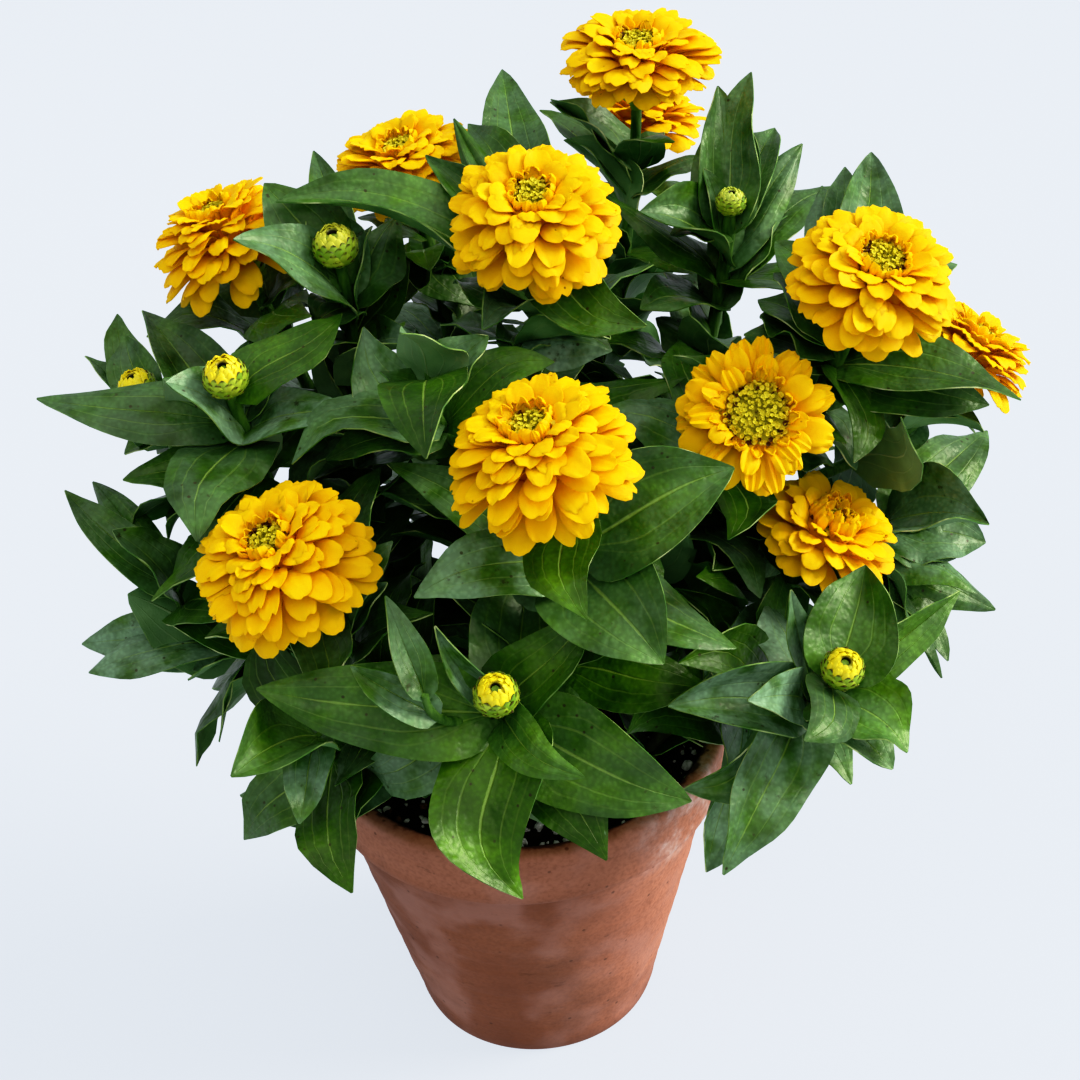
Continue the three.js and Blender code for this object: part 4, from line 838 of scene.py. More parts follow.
def leaf_pairs(route, rule, draw):
    """Opposite pairs of leaves up a shoot, one leaf at a time"""

    def spread(middle, half):
        return middle + half * either_way(draw)

    curve = route["curve"]
    run = rule["clear_of_soil"] if route["soil"] else rule["clear_of_fork"]
    heading = draw() * math.pi
    while run < curve.length - rule["clear_of_head"]:
        for other in (0, 1):
            share = curve.share_at(run + other * rule["stagger"])
            start = curve.point(share)
            face = curve.tangent(share)
            level = unit(np.cross(UP, face))
            lift = math.radians(spread(rule["lift"], rule["lift_spread"]))
            drawn = spread(rule["length"], rule["length_spread"]) - rule["shortening"] * run / curve.length
            reach = max(rule["shortest"], drawn)
            outward = rotated(level, face, heading + other * math.pi)
            chord = outward * reach * math.cos(lift) + face * reach * math.sin(lift)
            yield {
                "shoot": route["name"],
                "share": share,
                "start": start,
                "tip": start + chord,
                "face": face,
                "width": reach * rule["width_share"],
                "arch": spread(rule["arch"], rule["arch_spread"]),
                "roll": spread(0, rule["roll_spread"]),
                "fold": rule["fold"],
                "lowest_tip": rule["lowest_tip"],
                "plant": route["plant"],
                "by_rule": True,
            }
        heading += math.pi / 2
        run += rule["spacing"]


thicket = Thicket()


def place_seen(rows):
    for row in rows:
        thicket.place(seen_leaf(row), PAIRS)


def place_pairs(rule):
    for index, route in enumerate(routes.values()):
        for leaf in leaf_pairs(route, rule, draw_from(rule["first_draw"] + index)):
            thicket.place(leaf, rule)


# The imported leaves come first, so that they stand where they do there
place_seen(SEEN_LEAVES)
place_pairs(PAIRS)
place_seen(MORE_LEAVES)
place_pairs(INFILL)


# Modelling: a shape that repeats is made once with Blender's own tools, and its copies are bent into place


def deselect():
    bpy.ops.object.select_all(action="DESELECT")


def pick(piece):
    deselect()
    piece.select_set(True)
    bpy.context.view_layer.objects.active = piece


def flat_blade(name, across, along):
    """A flat grid from -1 to 1 across and 0 to 1 along, with a map that runs with it"""
    deselect()
    bpy.ops.mesh.primitive_grid_add(x_subdivisions=across, y_subdivisions=along, size=2, location=(0, 0, 0))
    blade = bpy.context.object
    blade.name = name
    bpy.ops.object.mode_set(mode="EDIT")
    bpy.ops.mesh.select_all(action="SELECT")
    bpy.ops.transform.translate(value=(0, 1, 0))
    bpy.ops.transform.resize(value=(1, 0.5, 1), center_override=(0, 0, 0))
    bpy.ops.object.mode_set(mode="OBJECT")
    blade.data.uv_layers[0].name = "blade"
    return blade


def drawn_up(name, profile, segments):
    """A round solid drawn up from a disc: each step extrudes its open end to the next radius and height"""
    radius, height = profile[0]
    deselect()
    bpy.ops.mesh.primitive_circle_add(
        vertices=segments, radius=radius, fill_type="NGON", location=(0, 0, height)
    )
    solid = bpy.context.object
    solid.name = name
    bpy.ops.object.transform_apply(location=True)
    bpy.ops.object.mode_set(mode="EDIT")
    bpy.ops.mesh.select_all(action="SELECT")
    for next_radius, next_height in profile[1:]:
        bpy.ops.mesh.extrude_region_move(TRANSFORM_OT_translate={"value": (0, 0, next_height - height)})
        grow = next_radius / radius
        bpy.ops.transform.resize(value=(grow, grow, 1), center_override=(0, 0, 0))
        radius, height = next_radius, next_height
    bpy.ops.mesh.select_all(action="SELECT")
    bpy.ops.mesh.normals_make_consistent(inside=False)
    bpy.ops.object.mode_set(mode="OBJECT")
    return solid


def places_of(piece):
    places = np.zeros(len(piece.data.vertices) * 3, np.float32)
    piece.data.vertices.foreach_get("co", places)
    return places.reshape(-1, 3).astype(float)


def move_to(piece, places):
    piece.data.vertices.foreach_set("co", np.ascontiguousarray(places, np.float32).ravel())
    piece.data.update()


def mark(piece, **marks):
    """Writes numbers at the corner points of a piece, for its material to read"""
    for name, values in marks.items():
        layer = piece.data.attributes.new(name, "FLOAT", "POINT")
        numbers = np.broadcast_to(np.asarray(values, np.float32), len(piece.data.vertices))
        layer.data.foreach_set("value", np.ascontiguousarray(numbers))


def copied(master, places_mm, **marks):
    """A copy of a master shape with its own mesh, its places given in mm"""
    piece = bpy.data.objects.new(master.name + "_copy", master.data.copy())
    bpy.context.scene.collection.objects.link(piece)
    move_to(piece, places_mm * MM)
    mark(piece, **marks)
    return piece


def joined(name, pieces):
    pick(pieces[0])
    for piece in pieces:
        piece.select_set(True)
    bpy.ops.object.join()
    whole = bpy.context.object
    whole.name = name
    whole.data.name = name
    return whole


def finish_with(piece, kind, **settings):
    """Adds a modifier with its settings and applies it"""
    pick(piece)
    modifier = piece.modifiers.new(kind.title(), kind)
    for key, value in settings.items():
        setattr(modifier, key, value)
    bpy.ops.object.modifier_apply(modifier=modifier.name)


def clad(piece, *materials):
    piece.data.materials.clear()
    for material in materials:
        piece.data.materials.append(material)


def delivered(piece, node, smooth_below):
    """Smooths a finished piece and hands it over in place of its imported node"""
    pick(piece)
    bpy.ops.object.shade_smooth_by_angle(angle=math.radians(smooth_below))
    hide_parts(node)
    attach(piece, "root")


def forget(*pieces):
    for piece in pieces:
        bpy.data.objects.remove(piece)


# Materials


def linear(hex_value):
    """An sRGB hex colour as the linear one that shaders take"""
    channels = []
    for shift in (16, 8, 0):
        value = (hex_value >> shift & 255) / 255
        channels.append(value / 12.92 if value <= 0.04045 else ((value + 0.055) / 1.055) ** 2.4)
    return (*channels, 1.0)


def per_mm(size):
    """Scale of a pattern whose grain is so many mm"""
    return 1 / (size * MM)


class Finish:
    """A material in the making"""

    def __init__(self, name):
        self.material = bpy.data.materials.new(name)
        self.material.use_nodes = True
        self.tree = self.material.node_tree
        self.shader = self.tree.nodes["Principled BSDF"]

    def add(self, kind, inputs=None, output=None, stops=None, **settings):
        """Adds a node with its settings and links, and gives the output asked for or its first in use"""
        made = self.tree.nodes.new("ShaderNode" + kind)
        for key, value in settings.items():
            setattr(made, key, value)
        if stops:
            elements = made.color_ramp.elements
            while len(elements) < len(stops):
                elements.new(1)
            for element, (place, colour) in zip(elements, stops):
                element.position = place
                element.color = linear(colour)
        self.fill(made, inputs or {})
        return made.outputs[output] if output else next(socket for socket in made.outputs if socket.enabled)

    def fill(self, made, inputs):
        for name, value in inputs.items():
            socket = made.inputs[name]
            if isinstance(value, bpy.types.NodeSocket):
                self.tree.links.new(value, socket)
            elif socket.type == "RGBA" and isinstance(value, int):
                socket.default_value = linear(value)
            else:
                socket.default_value = value

    def finished(self, **sockets):
        """Fills the shader's own sockets, named in small letters, and gives the material"""
        names = {key.replace("_", " ").title().replace("Ior", "IOR"): value for key, value in sockets.items()}
        self.fill(self.shader, names)
        return self.material


SMOOTH = {"interpolation_type": "SMOOTHSTEP"}
COLOURS = {"data_type": "RGBA", "blend_type": "MIX"}


def blade_places(add):
    """How far out from the midrib and how far along its blade a point lies, each from 0 to 1"""
    split = add("SeparateXYZ", {0: add("UVMap", uv_map="blade")}).node.outputs
    aside = add("Math", {0: split[0], 1: 2.0, 2: -1.0}, operation="MULTIPLY_ADD")
    return add("Math", {0: aside}, operation="ABSOLUTE"), split[1]


def stained(add, colour, pattern, edges, shares, stain):
    """A colour with a stain mixed in, by a share that goes from one to another between a pattern's edges"""
    part = add("MapRange", {0: pattern, 1: edges[0], 2: edges[1], 3: shares[0], 4: shares[1]}, **SMOOTH)
    return add("Mix", {0: part, 6: colour, 7: stain}, **COLOURS)


def tinted(add, colour, measure, share, tint):
    """A colour with a tint mixed in, by some share of a measure from 0 to 1"""
    part = add("Math", {0: measure, 1: share}, operation="MULTIPLY")
    return add("Mix", {0: part, 6: colour, 7: tint}, **COLOURS)


def specks(add, place, apart_mm, edges, patch_mm, patch_edges):
    """Small round dots that lie only in patches"""
    dots = add("TexVoronoi", {"Vector": place, "Scale": per_mm(apart_mm)})
    dots = add("MapRange", {0: dots, 1: edges[0], 2: edges[1], 3: 0.85, 4: 0.0}, **SMOOTH)
    where = add("TexNoise", {"Vector": place, "Scale": per_mm(patch_mm), "Detail": 2.0})
    where = add("MapRange", {0: where, 1: patch_edges[0], 2: patch_edges[1]}, **SMOOTH)
    return add("Math", {0: dots, 1: where}, operation="MULTIPLY")


# Side veins of a leaf: how far out each runs, in shares of the half width, and how strongly it shows
SIDE_VEINS = ((0.46, 0.34), (0.74, 0.14))


def leaf_veins(add, out, along):
    """A thin midrib, and two fainter veins on each side that part from it at the base and fade to the tip"""
    place = add("TexCoord", output="Object")
    wander = add("TexNoise", {"Vector": place, "Scale": per_mm(14), "Detail": 2.0})
    out = add("Math", {0: wander, 1: 0.07, 2: out}, operation="MULTIPLY_ADD")
    veins = add("MapRange", {0: out, 1: 0.04, 2: 0.075, 3: 1.0, 4: 0.0}, **SMOOTH)
    for aside, strength in SIDE_VEINS:
        parted = add("MapRange", {0: along, 1: 0.0, 2: 0.42, 3: aside * 0.12, 4: aside}, **SMOOTH)
        gap = add("Math", {0: out, 1: parted}, operation="SUBTRACT")
        gap = add("Math", {0: gap, 1: 0.035}, operation="SUBTRACT")
        gap = add("Math", {0: gap}, operation="ABSOLUTE")
        line = add("MapRange", {0: gap, 1: 0.008, 2: 0.03, 3: strength, 4: 0.0}, **SMOOTH)
        veins = add("Math", {0: veins, 1: line}, operation="MAXIMUM")
    fading = add("MapRange", {0: along, 1: 0.5, 2: 1.0, 3: 1.0, 4: 0.3})
    return add("Math", {0: veins, 1: fading}, operation="MULTIPLY")


def leaf_upper():
    """Zinnia leaf, upper side: deep green, lighter on some leaves, partly as painted light, with a thin waxy
    skin that is quilted and pebbled and so has a broad broken shine, a grey bloom on some leaves that is
    partly painted sheen, thin pale veins, and brown specks and blotches"""
    finish = Finish("leaf_upper_side")
    add = finish.add
    out, along = blade_places(add)
    veins = leaf_veins(add, out, along)
    place = add("TexCoord", output="Object")
    bright = add("Attribute", attribute_name="bright", output="Fac")
    bloom = add("Attribute", attribute_name="bloom", output="Fac")
    patches = add("TexNoise", {"Vector": place, "Scale": per_mm(15), "Detail": 4.0})
    # Painted light, in part: each leaf's green goes from a deep ramp towards a lit ramp by its bright share,
    # partly its own lighter green and partly painted light
    deep = add("ValToRGB", {0: patches}, stops=[(0.3, 0x1A3404), (0.5, 0x2A4E08), (0.7, 0x3E6A0E)])
    lit = add("ValToRGB", {0: patches}, stops=[(0.3, 0x3A6E08), (0.5, 0x52880E), (0.7, 0x72A418)])
    green = add("Mix", {0: bright, 6: deep, 7: lit}, **COLOURS)
    # Grey bloom, partly wax and partly painted sheen: a pale grey-green is mixed in by the leaf's bloom share,
    # which stands in part for the shine of glossy leaves
    cloud = add("TexNoise", {"Vector": place, "Scale": per_mm(12), "Detail": 5.0})
    cloud = add("MapRange", {0: cloud, 1: 0.32, 2: 0.58, 3: 0.1, 4: 0.9}, **SMOOTH)
    cloud = add("Math", {0: cloud, 1: bloom}, operation="MULTIPLY")
    green = add("Mix", {0: cloud, 6: green, 7: 0x84A684}, **COLOURS)
    cells = add("TexVoronoi", {"Vector": place, "Scale": per_mm(1.5)}, feature="SMOOTH_F1")
    green = stained(add, green, cells, (0.15, 0.6), (0.0, 0.28), 0x142602)
    green = tinted(add, green, veins, 0.55, 0x8FB04C)
    brown = specks(add, place, 4.2, (0.1, 0.18), 11, (0.52, 0.6))
    scorched = add("Math", {0: bloom, 1: -0.08, 2: 0.7}, operation="MULTIPLY_ADD")
    blotch = add("TexNoise", {"Vector": place, "Scale": per_mm(8), "Detail": 6.0, "Roughness": 0.7})
    blotch = add("Math", {0: blotch, 1: scorched}, operation="SUBTRACT")
    blotch = add("MapRange", {0: blotch, 1: -0.04, 2: 0.05, 3: 0.0, 4: 0.75}, **SMOOTH)
    marks = add("Math", {0: brown, 1: blotch}, operation="MAXIMUM")
    colour = add("Mix", {0: marks, 6: green, 7: 0x2A2010}, **COLOURS)
    quilt = add("TexNoise", {"Vector": place, "Scale": per_mm(6.5), "Detail": 2.0})
    bump = add("Bump", {"Height": quilt, "Distance": 1.6 * MM, "Strength": 0.6})
    sunk = add("Math", {0: cells, 1: 0.4, 2: veins}, operation="MULTIPLY_ADD")
    sunk = add("Math", {0: sunk, 1: -1.0}, operation="MULTIPLY")
    bump = add("Bump", {"Height": sunk, "Distance": 0.35 * MM, "Strength": 0.9, "Normal": bump})
    shine = add("TexNoise", {"Vector": place, "Scale": per_mm(9), "Detail": 3.0})
    rough = add("MapRange", {0: shine, 1: 0.3, 2: 0.7, 3: 0.32, 4: 0.48})
    return finish.finished(base_color=colour, roughness=rough, normal=bump, specular_ior_level=0.42,
                           specular_tint=0xE6F2CC)


def leaf_under():
    """Zinnia leaf, underside: paler green and matte, grey where it has a bloom, which is partly painted sheen,
    with raised veins
    """
    finish = Finish("leaf_underside")
    add = finish.add
    out, along = blade_places(add)
    veins = leaf_veins(add, out, along)
    place = add("TexCoord", output="Object")
    bright = add("Attribute", attribute_name="bright", output="Fac")
    patches = add("TexNoise", {"Vector": place, "Scale": per_mm(12), "Detail": 4.0})
    green = add("ValToRGB", {0: patches}, stops=[(0.3, 0x34602A), (0.52, 0x4C7C3C), (0.72, 0x709C5A)])
    green = tinted(add, green, bright, 0.5, 0x6C9A4C)
    # The same share mixes in a pale grey-green, partly wax bloom and partly painted sheen
    bloom = add("Attribute", attribute_name="bloom", output="Fac")
    green = tinted(add, green, bloom, 0.6, 0x8CAA7E)
    colour = tinted(add, green, veins, 0.5, 0xA2BE80)
    bump = add("Bump", {"Height": veins, "Distance": 0.4 * MM, "Strength": 0.9})
    hairs = add("TexNoise", {"Vector": place, "Scale": per_mm(0.9), "Detail": 2.0})
    bump = add("Bump", {"Height": hairs, "Distance": 0.15 * MM, "Strength": 0.7, "Normal": bump})
    return finish.finished(base_color=colour, roughness=0.6, normal=bump, specular_ior_level=0.3)


def leaf_margin():
    """Thin cut edge of a leaf, a little dry and pale, which draws a fine light line round some blades"""
    finish = Finish("leaf_margin")
    add = finish.add
    place = add("TexCoord", output="Object")
    dryness = add("TexNoise", {"Vector": place, "Scale": per_mm(9), "Detail": 3.0})
    colour = add("ValToRGB", {0: dryness}, stops=[(0.4, 0x3C6A20), (0.56, 0x7A984A), (0.72, 0xC2CC90)])
    return finish.finished(base_color=colour, roughness=0.6, specular_ior_level=0.3)


def stem_skin():
    """Hairy zinnia stem: dull green above, and brown and woody where it leaves the soil"""
    finish = Finish("stem_skin")
    add = finish.add
    place = add("TexCoord", output="Object")
    height = add("SeparateXYZ", {0: place}).node.outputs[2]
    streaks = add("Mapping", {"Vector": place, "Scale": (3.0, 3.0, 0.6)})
    streaks = add("TexNoise", {"Vector": streaks, "Scale": per_mm(6), "Detail": 3.0})
    green = add("ValToRGB", {0: streaks}, stops=[(0.35, 0x2C5216), (0.65, 0x527C2C)])
    colour = stained(add, green, height, (128 * MM, 215 * MM), (0.8, 0.0), 0x473B24)
    hairs = add("TexNoise", {"Vector": place, "Scale": per_mm(0.9), "Detail": 2.0})
    bump = add("Bump", {"Height": hairs, "Distance": 0.25 * MM})
    return finish.finished(base_color=colour, roughness=0.62, normal=bump, specular_ior_level=0.3)


def bract_skin():
    """Scales of buds and cups: smooth yellow green, each with a thin dark brown fringe"""
    finish = Finish("bract_skin")
    add = finish.add
    out, along = blade_places(add)
    place = add("TexCoord", output="Object")
    tone = add("Attribute", attribute_name="tone", output="Fac")
    green = add("Mix", {0: tone, 6: 0x6F9A20, 7: 0xB4C93A}, **COLOURS)
    green = stained(add, green, along, (0.0, 0.6), (0.6, 0.0), 0x5A8420)
    tip = add("MapRange", {0: along, 1: 0.76, 2: 0.94}, **SMOOTH)
    side = add("MapRange", {0: out, 1: 0.78, 2: 0.96}, **SMOOTH)
    rim = add("Math", {0: tip, 1: side}, operation="MAXIMUM")
    upper = add("MapRange", {0: along, 1: 0.35, 2: 0.6}, **SMOOTH)
    ragged = add("TexNoise", {"Vector": place, "Scale": per_mm(1.4), "Detail": 3.0})
    ragged = add("MapRange", {0: ragged, 1: 0.38, 2: 0.58, 3: 0.35, 4: 1.0})
    edge = add("Math", {0: rim, 1: upper}, operation="MULTIPLY")
    edge = add("Math", {0: edge, 1: ragged}, operation="MULTIPLY")
    colour = add("Mix", {0: edge, 6: green, 7: 0x3A2A0A}, **COLOURS)
    return finish.finished(base_color=colour, roughness=0.48, specular_ior_level=0.35)


def petal_satin():
    """Zinnia petal: golden yellow, satiny and so thin that light shines through it, a little deeper towards
    its claw, with painted shade along its edge and round end, and a few brown specks"""
    finish = Finish("petal_satin")
    add = finish.add
    out, along = blade_places(add)
    place = add("TexCoord", output="Object")
    tone = add("Attribute", attribute_name="tone", output="Fac")
    yellow = add("ValToRGB", {0: along},
                 stops=[(0.0, 0xE6A000), (0.4, 0xF4AE00), (0.75, 0xFAB700), (1.0, 0xFCBD00)])
    yellow = tinted(add, yellow, tone, 0.5, 0xFCC500)
    cloud = add("TexNoise", {"Vector": place, "Scale": per_mm(6), "Detail": 3.0})
    yellow = stained(add, yellow, cloud, (0.45, 0.72), (0.0, 0.3), 0xF2AC00)
    # Painted shade: a thin deeper orange line along the petal's edge and round end
    rim = add("MapRange", {0: out, 1: 0.84, 2: 1.0, 3: 0.0, 4: 0.3}, **SMOOTH)
    end = add("MapRange", {0: along, 1: 0.94, 2: 1.0, 3: 0.0, 4: 0.3}, **SMOOTH)
    rim = add("Math", {0: rim, 1: end}, operation="MAXIMUM")
    yellow = add("Mix", {0: rim, 6: yellow, 7: 0xE09A00}, **COLOURS)
    brown = specks(add, place, 4.6, (0.07, 0.13), 10, (0.58, 0.64))
    colour = add("Mix", {0: brown, 6: yellow, 7: 0x5A3606}, **COLOURS)
    soft = add("TexNoise", {"Vector": place, "Scale": per_mm(3.5), "Detail": 3.0})
    bump = add("Bump", {"Height": soft, "Distance": 0.4 * MM, "Strength": 0.6})
    return finish.finished(base_color=colour, roughness=0.62, normal=bump, specular_ior_level=0.12,
                           subsurface_weight=0.5, subsurface_radius=(1.0, 1.0, 0.05),
                           subsurface_scale=1.6 * MM)


def floret_skin():
    """Disc florets: crowded fleshy stars, olive at the foot and greenish yellow at their tips, with some
    withered brown ones, and the same brown as painted shade in the hollow of the disc's middle"""
    finish = Finish("floret_skin")
    add = finish.add
    tone = add("Attribute", attribute_name="tone", output="Fac")
    ring = add("Attribute", attribute_name="ring", output="Fac")
    height = add("Attribute", attribute_name="height", output="Fac")
    colour = add("ValToRGB", {0: height}, stops=[(0.1, 0x8A8012), (0.6, 0xB4A81C), (1.0, 0xE0D22E)])
    colour = stained(add, colour, ring, (0.6, 1.0), (0.0, 0.6), 0xDDB812)
    colour = tinted(add, colour, tone, 0.4, 0xE0D63A)
    withered = add("Attribute", attribute_name="withered", output="Fac")
    colour = add("Mix", {0: withered, 6: colour, 7: 0x4E2C0A}, **COLOURS)
    place = add("TexCoord", output="Object")
    pollen = add("TexNoise", {"Vector": place, "Scale": per_mm(0.8), "Detail": 2.0})
    bump = add("Bump", {"Height": pollen, "Distance": 0.15 * MM})
    return finish.finished(base_color=colour, roughness=0.6, normal=bump, specular_ior_level=0.2)


def crown_skin():
    """Young petals of a bud: smooth and closed, green at first and then yellow, with painted shade making
    their edges darker and the hole amid them dark
    """
    finish = Finish("crown_skin")
    add = finish.add
    out, along = blade_places(add)
    tone = add("Attribute", attribute_name="tone", output="Fac")
    yellow = add("ValToRGB", {0: along}, stops=[(0.0, 0xA8A818), (0.4, 0xE8D41A), (0.85, 0xF8E224)])
    green = add("ValToRGB", {0: along}, stops=[(0.0, 0x6E9420), (0.85, 0xB4C850)])
    ripe = add("Attribute", attribute_name="yellow", output="Fac")
    yellow = add("Mix", {0: ripe, 6: green, 7: yellow}, **COLOURS)
    yellow = tinted(add, yellow, tone, 0.4, 0xD6CE30)
    # Painted shade: the young petals darken to olive towards their edges, where they meet and overlap
    yellow = stained(add, yellow, out, (0.7, 1.0), (0.0, 0.5), 0x8E8410)
    # Painted shade: the hole amid the young petals is painted nearly black
    hole = add("Attribute", attribute_name="hole", output="Fac")
    colour = add("Mix", {0: hole, 6: yellow, 7: 0x1C1A06}, **COLOURS)
    return finish.finished(base_color=colour, roughness=0.45, specular_ior_level=0.3)


def terracotta():
    """Unglazed fired clay, thrown on a wheel and weathered: dry and matte, with painted light that makes its
    right side paler, paler round its rim, pale and damp blotches, scuffs, a crust of lime on the rim, a soil
    stain on the lip with painted shade down the inside of the rim, and darker towards its foot"""
    finish = Finish("unglazed_terracotta")
    add = finish.add
    place = add("TexCoord", output="Object")
    split = add("SeparateXYZ", {0: place}).node.outputs
    broad = add("TexNoise", {"Vector": place, "Scale": per_mm(44), "Detail": 5.0})
    clay = add("ValToRGB", {0: broad}, stops=[(0.3, 0x723E26), (0.5, 0x844C30), (0.72, 0x965E40)])
    # Painted light: the clay grows paler towards its right side, where the light comes from, and paler round
    # the band at the top
    aside = add("Math", {0: broad, 1: 30 * MM, 2: split[0]}, operation="MULTIPLY_ADD")
    painted_light_right_and_pale_top = add("MapRange", {0: aside, 1: 12 * MM, 2: 78 * MM, 3: 0.0, 4: 0.85}, **SMOOTH)
    upper = add("MapRange", {0: split[2], 1: 106 * MM, 2: 124 * MM, 3: 0.0, 4: 0.45}, **SMOOTH)
    painted_light_right_and_pale_top = add("Math", {0: painted_light_right_and_pale_top, 1: upper}, operation="MAXIMUM")
    clay = add("Mix", {0: painted_light_right_and_pale_top, 6: clay, 7: 0xC48466}, **COLOURS)
    fine = add("TexNoise", {"Vector": place, "Scale": per_mm(1.6), "Detail": 4.0})
    clay = stained(add, clay, fine, (0.35, 0.75), (0.0, 0.4), 0x6C3C26)
    chalk = add("TexNoise", {"Vector": place, "Scale": per_mm(26), "Detail": 3.0, "Roughness": 0.45})
    clay = stained(add, clay, chalk, (0.48, 0.7), (0.0, 0.42), 0xAE8070)
    damp = add("TexNoise", {"Vector": place, "Scale": per_mm(40), "Detail": 4.0})
    clay = stained(add, clay, damp, (0.5, 0.68), (0.0, 0.4), 0x663A26)
    scuffs = add("Mapping", {"Vector": place, "Scale": (1.0, 1.0, 3.2)})
    scuffs = add("TexNoise", {"Vector": scuffs, "Scale": per_mm(11), "Detail": 6.0, "Roughness": 0.7})
    clay = stained(add, clay, scuffs, (0.6, 0.7), (0.0, 0.4), 0x4A2818)
    away = add("VectorMath", {0: place, 1: (60 * MM, -48 * MM, 128 * MM)}, operation="DISTANCE")
    near = add("MapRange", {0: away, 1: 10 * MM, 2: 36 * MM, 3: 1.0, 4: 0.0}, **SMOOTH)
    crust = add("TexNoise", {"Vector": place, "Scale": per_mm(9), "Detail": 6.0, "Roughness": 0.65})
    crust = add("MapRange", {0: crust, 1: 0.4, 2: 0.75, 3: 0.0, 4: 0.8}, **SMOOTH)
    lime = add("Math", {0: near, 1: crust}, operation="MULTIPLY")
    clay = add("Mix", {0: lime, 6: clay, 7: 0xDCC8C0}, **COLOURS)
    dots = add("TexVoronoi", {"Vector": place, "Scale": per_mm(9)})
    clay = stained(add, clay, dots, (0.05, 0.11), (0.6, 0.0), 0x3D2013)
    # A soil stain on the lip's top and painted shade down the inside of the rim: the clay darkens within a
    # ragged radius near the top
    level = add("CombineXYZ", {0: split[0], 1: split[1]})
    radius = add("VectorMath", {0: level}, operation="LENGTH")
    ragged = add("TexNoise", {"Vector": place, "Scale": per_mm(6), "Detail": 4.0})
    radius = add("Math", {0: ragged, 1: 9 * MM, 2: radius}, operation="MULTIPLY_ADD")
    inner = add("MapRange", {0: radius, 1: 79.0 * MM, 2: 81.5 * MM, 3: 0.85, 4: 0.0}, **SMOOTH)
    high = add("MapRange", {0: split[2], 1: 118 * MM, 2: 124 * MM}, **SMOOTH)
    lip_stain_and_painted_shade = add("Math", {0: inner, 1: high}, operation="MULTIPLY")
    clay = add("Mix", {0: lip_stain_and_painted_shade, 6: clay, 7: 0x331D12}, **COLOURS)
    low = add("Math", {0: ragged, 1: 14 * MM, 2: split[2]}, operation="MULTIPLY_ADD")
    clay = stained(add, clay, low, (7 * MM, 20 * MM), (0.45, 0.0), 0x6A4030)
    throwing = add("Mapping", {"Vector": place, "Scale": (1.0, 1.0, 9.0)})
    throwing = add("TexNoise", {"Vector": throwing, "Scale": per_mm(30), "Detail": 4.0})
    bump = add("Bump", {"Height": throwing, "Distance": 0.35 * MM, "Strength": 0.8})
    bump = add("Bump", {"Height": fine, "Distance": 0.15 * MM, "Strength": 1.0, "Normal": bump})
    return finish.finished(base_color=clay, roughness=0.8, normal=bump, specular_ior_level=0.3)


def crumbly(name, grain_mm, stops, relief_mm):
    """Matte broken stuff of one grain, such as peat, perlite or bark"""
    finish = Finish(name)
    add = finish.add
    place = add("TexCoord", output="Object")
    grain = add("TexNoise", {"Vector": place, "Scale": per_mm(grain_mm), "Detail": 5.0})
    colour = add("ValToRGB", {0: grain}, stops=stops)
    bump = add("Bump", {"Height": grain, "Distance": relief_mm * MM})
    return finish.finished(base_color=colour, roughness=0.93, normal=bump, specular_ior_level=0.2)


LEAF_UPPER = leaf_upper()
LEAF_UNDER = leaf_under()
LEAF_MARGIN = leaf_margin()
STEM_SKIN = stem_skin()
BRACT = bract_skin()
PETAL_SATIN = petal_satin()
FLORET = floret_skin()
CROWN_SKIN = crown_skin()
TERRACOTTA = terracotta()

# Damp peat is nearly black, puffed perlite is white and dusty, and bark and fibre are brown and dull
PEAT = crumbly("damp_peat", 2.5, [(0.35, 0x0A0705), (0.55, 0x19110C), (0.75, 0x32251A)], 0.6)
PERLITE = crumbly("perlite_grains", 2.0, [(0.35, 0xB4AEA4), (0.6, 0xF0EDE6)], 0.2)
BARK = crumbly("bark_bits", 2.0, [(0.35, 0x2E1E12), (0.65, 0x7A5836)], 0.3)


# Leaves: the few that were read in the picture are finer than the many set by rule

FINE_LEAF = flat_blade("fine_leaf", 10, 16)
COARSE_LEAF = flat_blade("coarse_leaf", 6, 9)

# Leaf: its outline is an egg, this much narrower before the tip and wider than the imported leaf's, with half
# a stalk's width more. Then the most that fold, sway, hook, edge roll and twist reach, the least and further
# height of its waves in shares of the width, least and further number of waves, how its two edges wave out
# of step, how crowned it is, how deep its midrib lies, and how loosely seen and other leaves sway and hook
LEAF = {
    "outline": 2.3,
    "narrowing": 0.16,
    "wider": 1.06,
    "stalk": 0.3,
    "fold": 8,
    "sway": 0.13,
    "hook": 0.16,
    "edge_roll": 0.75,
    "twist": 34,
    "wave": (0.04, 0.07),
    "waves": (1.1, 1.3),
    "out_of_step": 2.3,
    "crown": 0.07,
    "groove": 0.45,
    "loose_seen": 30,
    "loose_by_rule": 100,
}

# Bright green, partly painted light, and grey bloom, partly painted sheen, of a leaf: the number in the tables
# above that stands for all of it, and the most of it that leaves set by rule have
BRIGHT_AND_LIT = {"full": 130, "drawn": 0.35}
GREY_BLOOM_AND_SHEEN = {"full": 100, "drawn": 0.7}


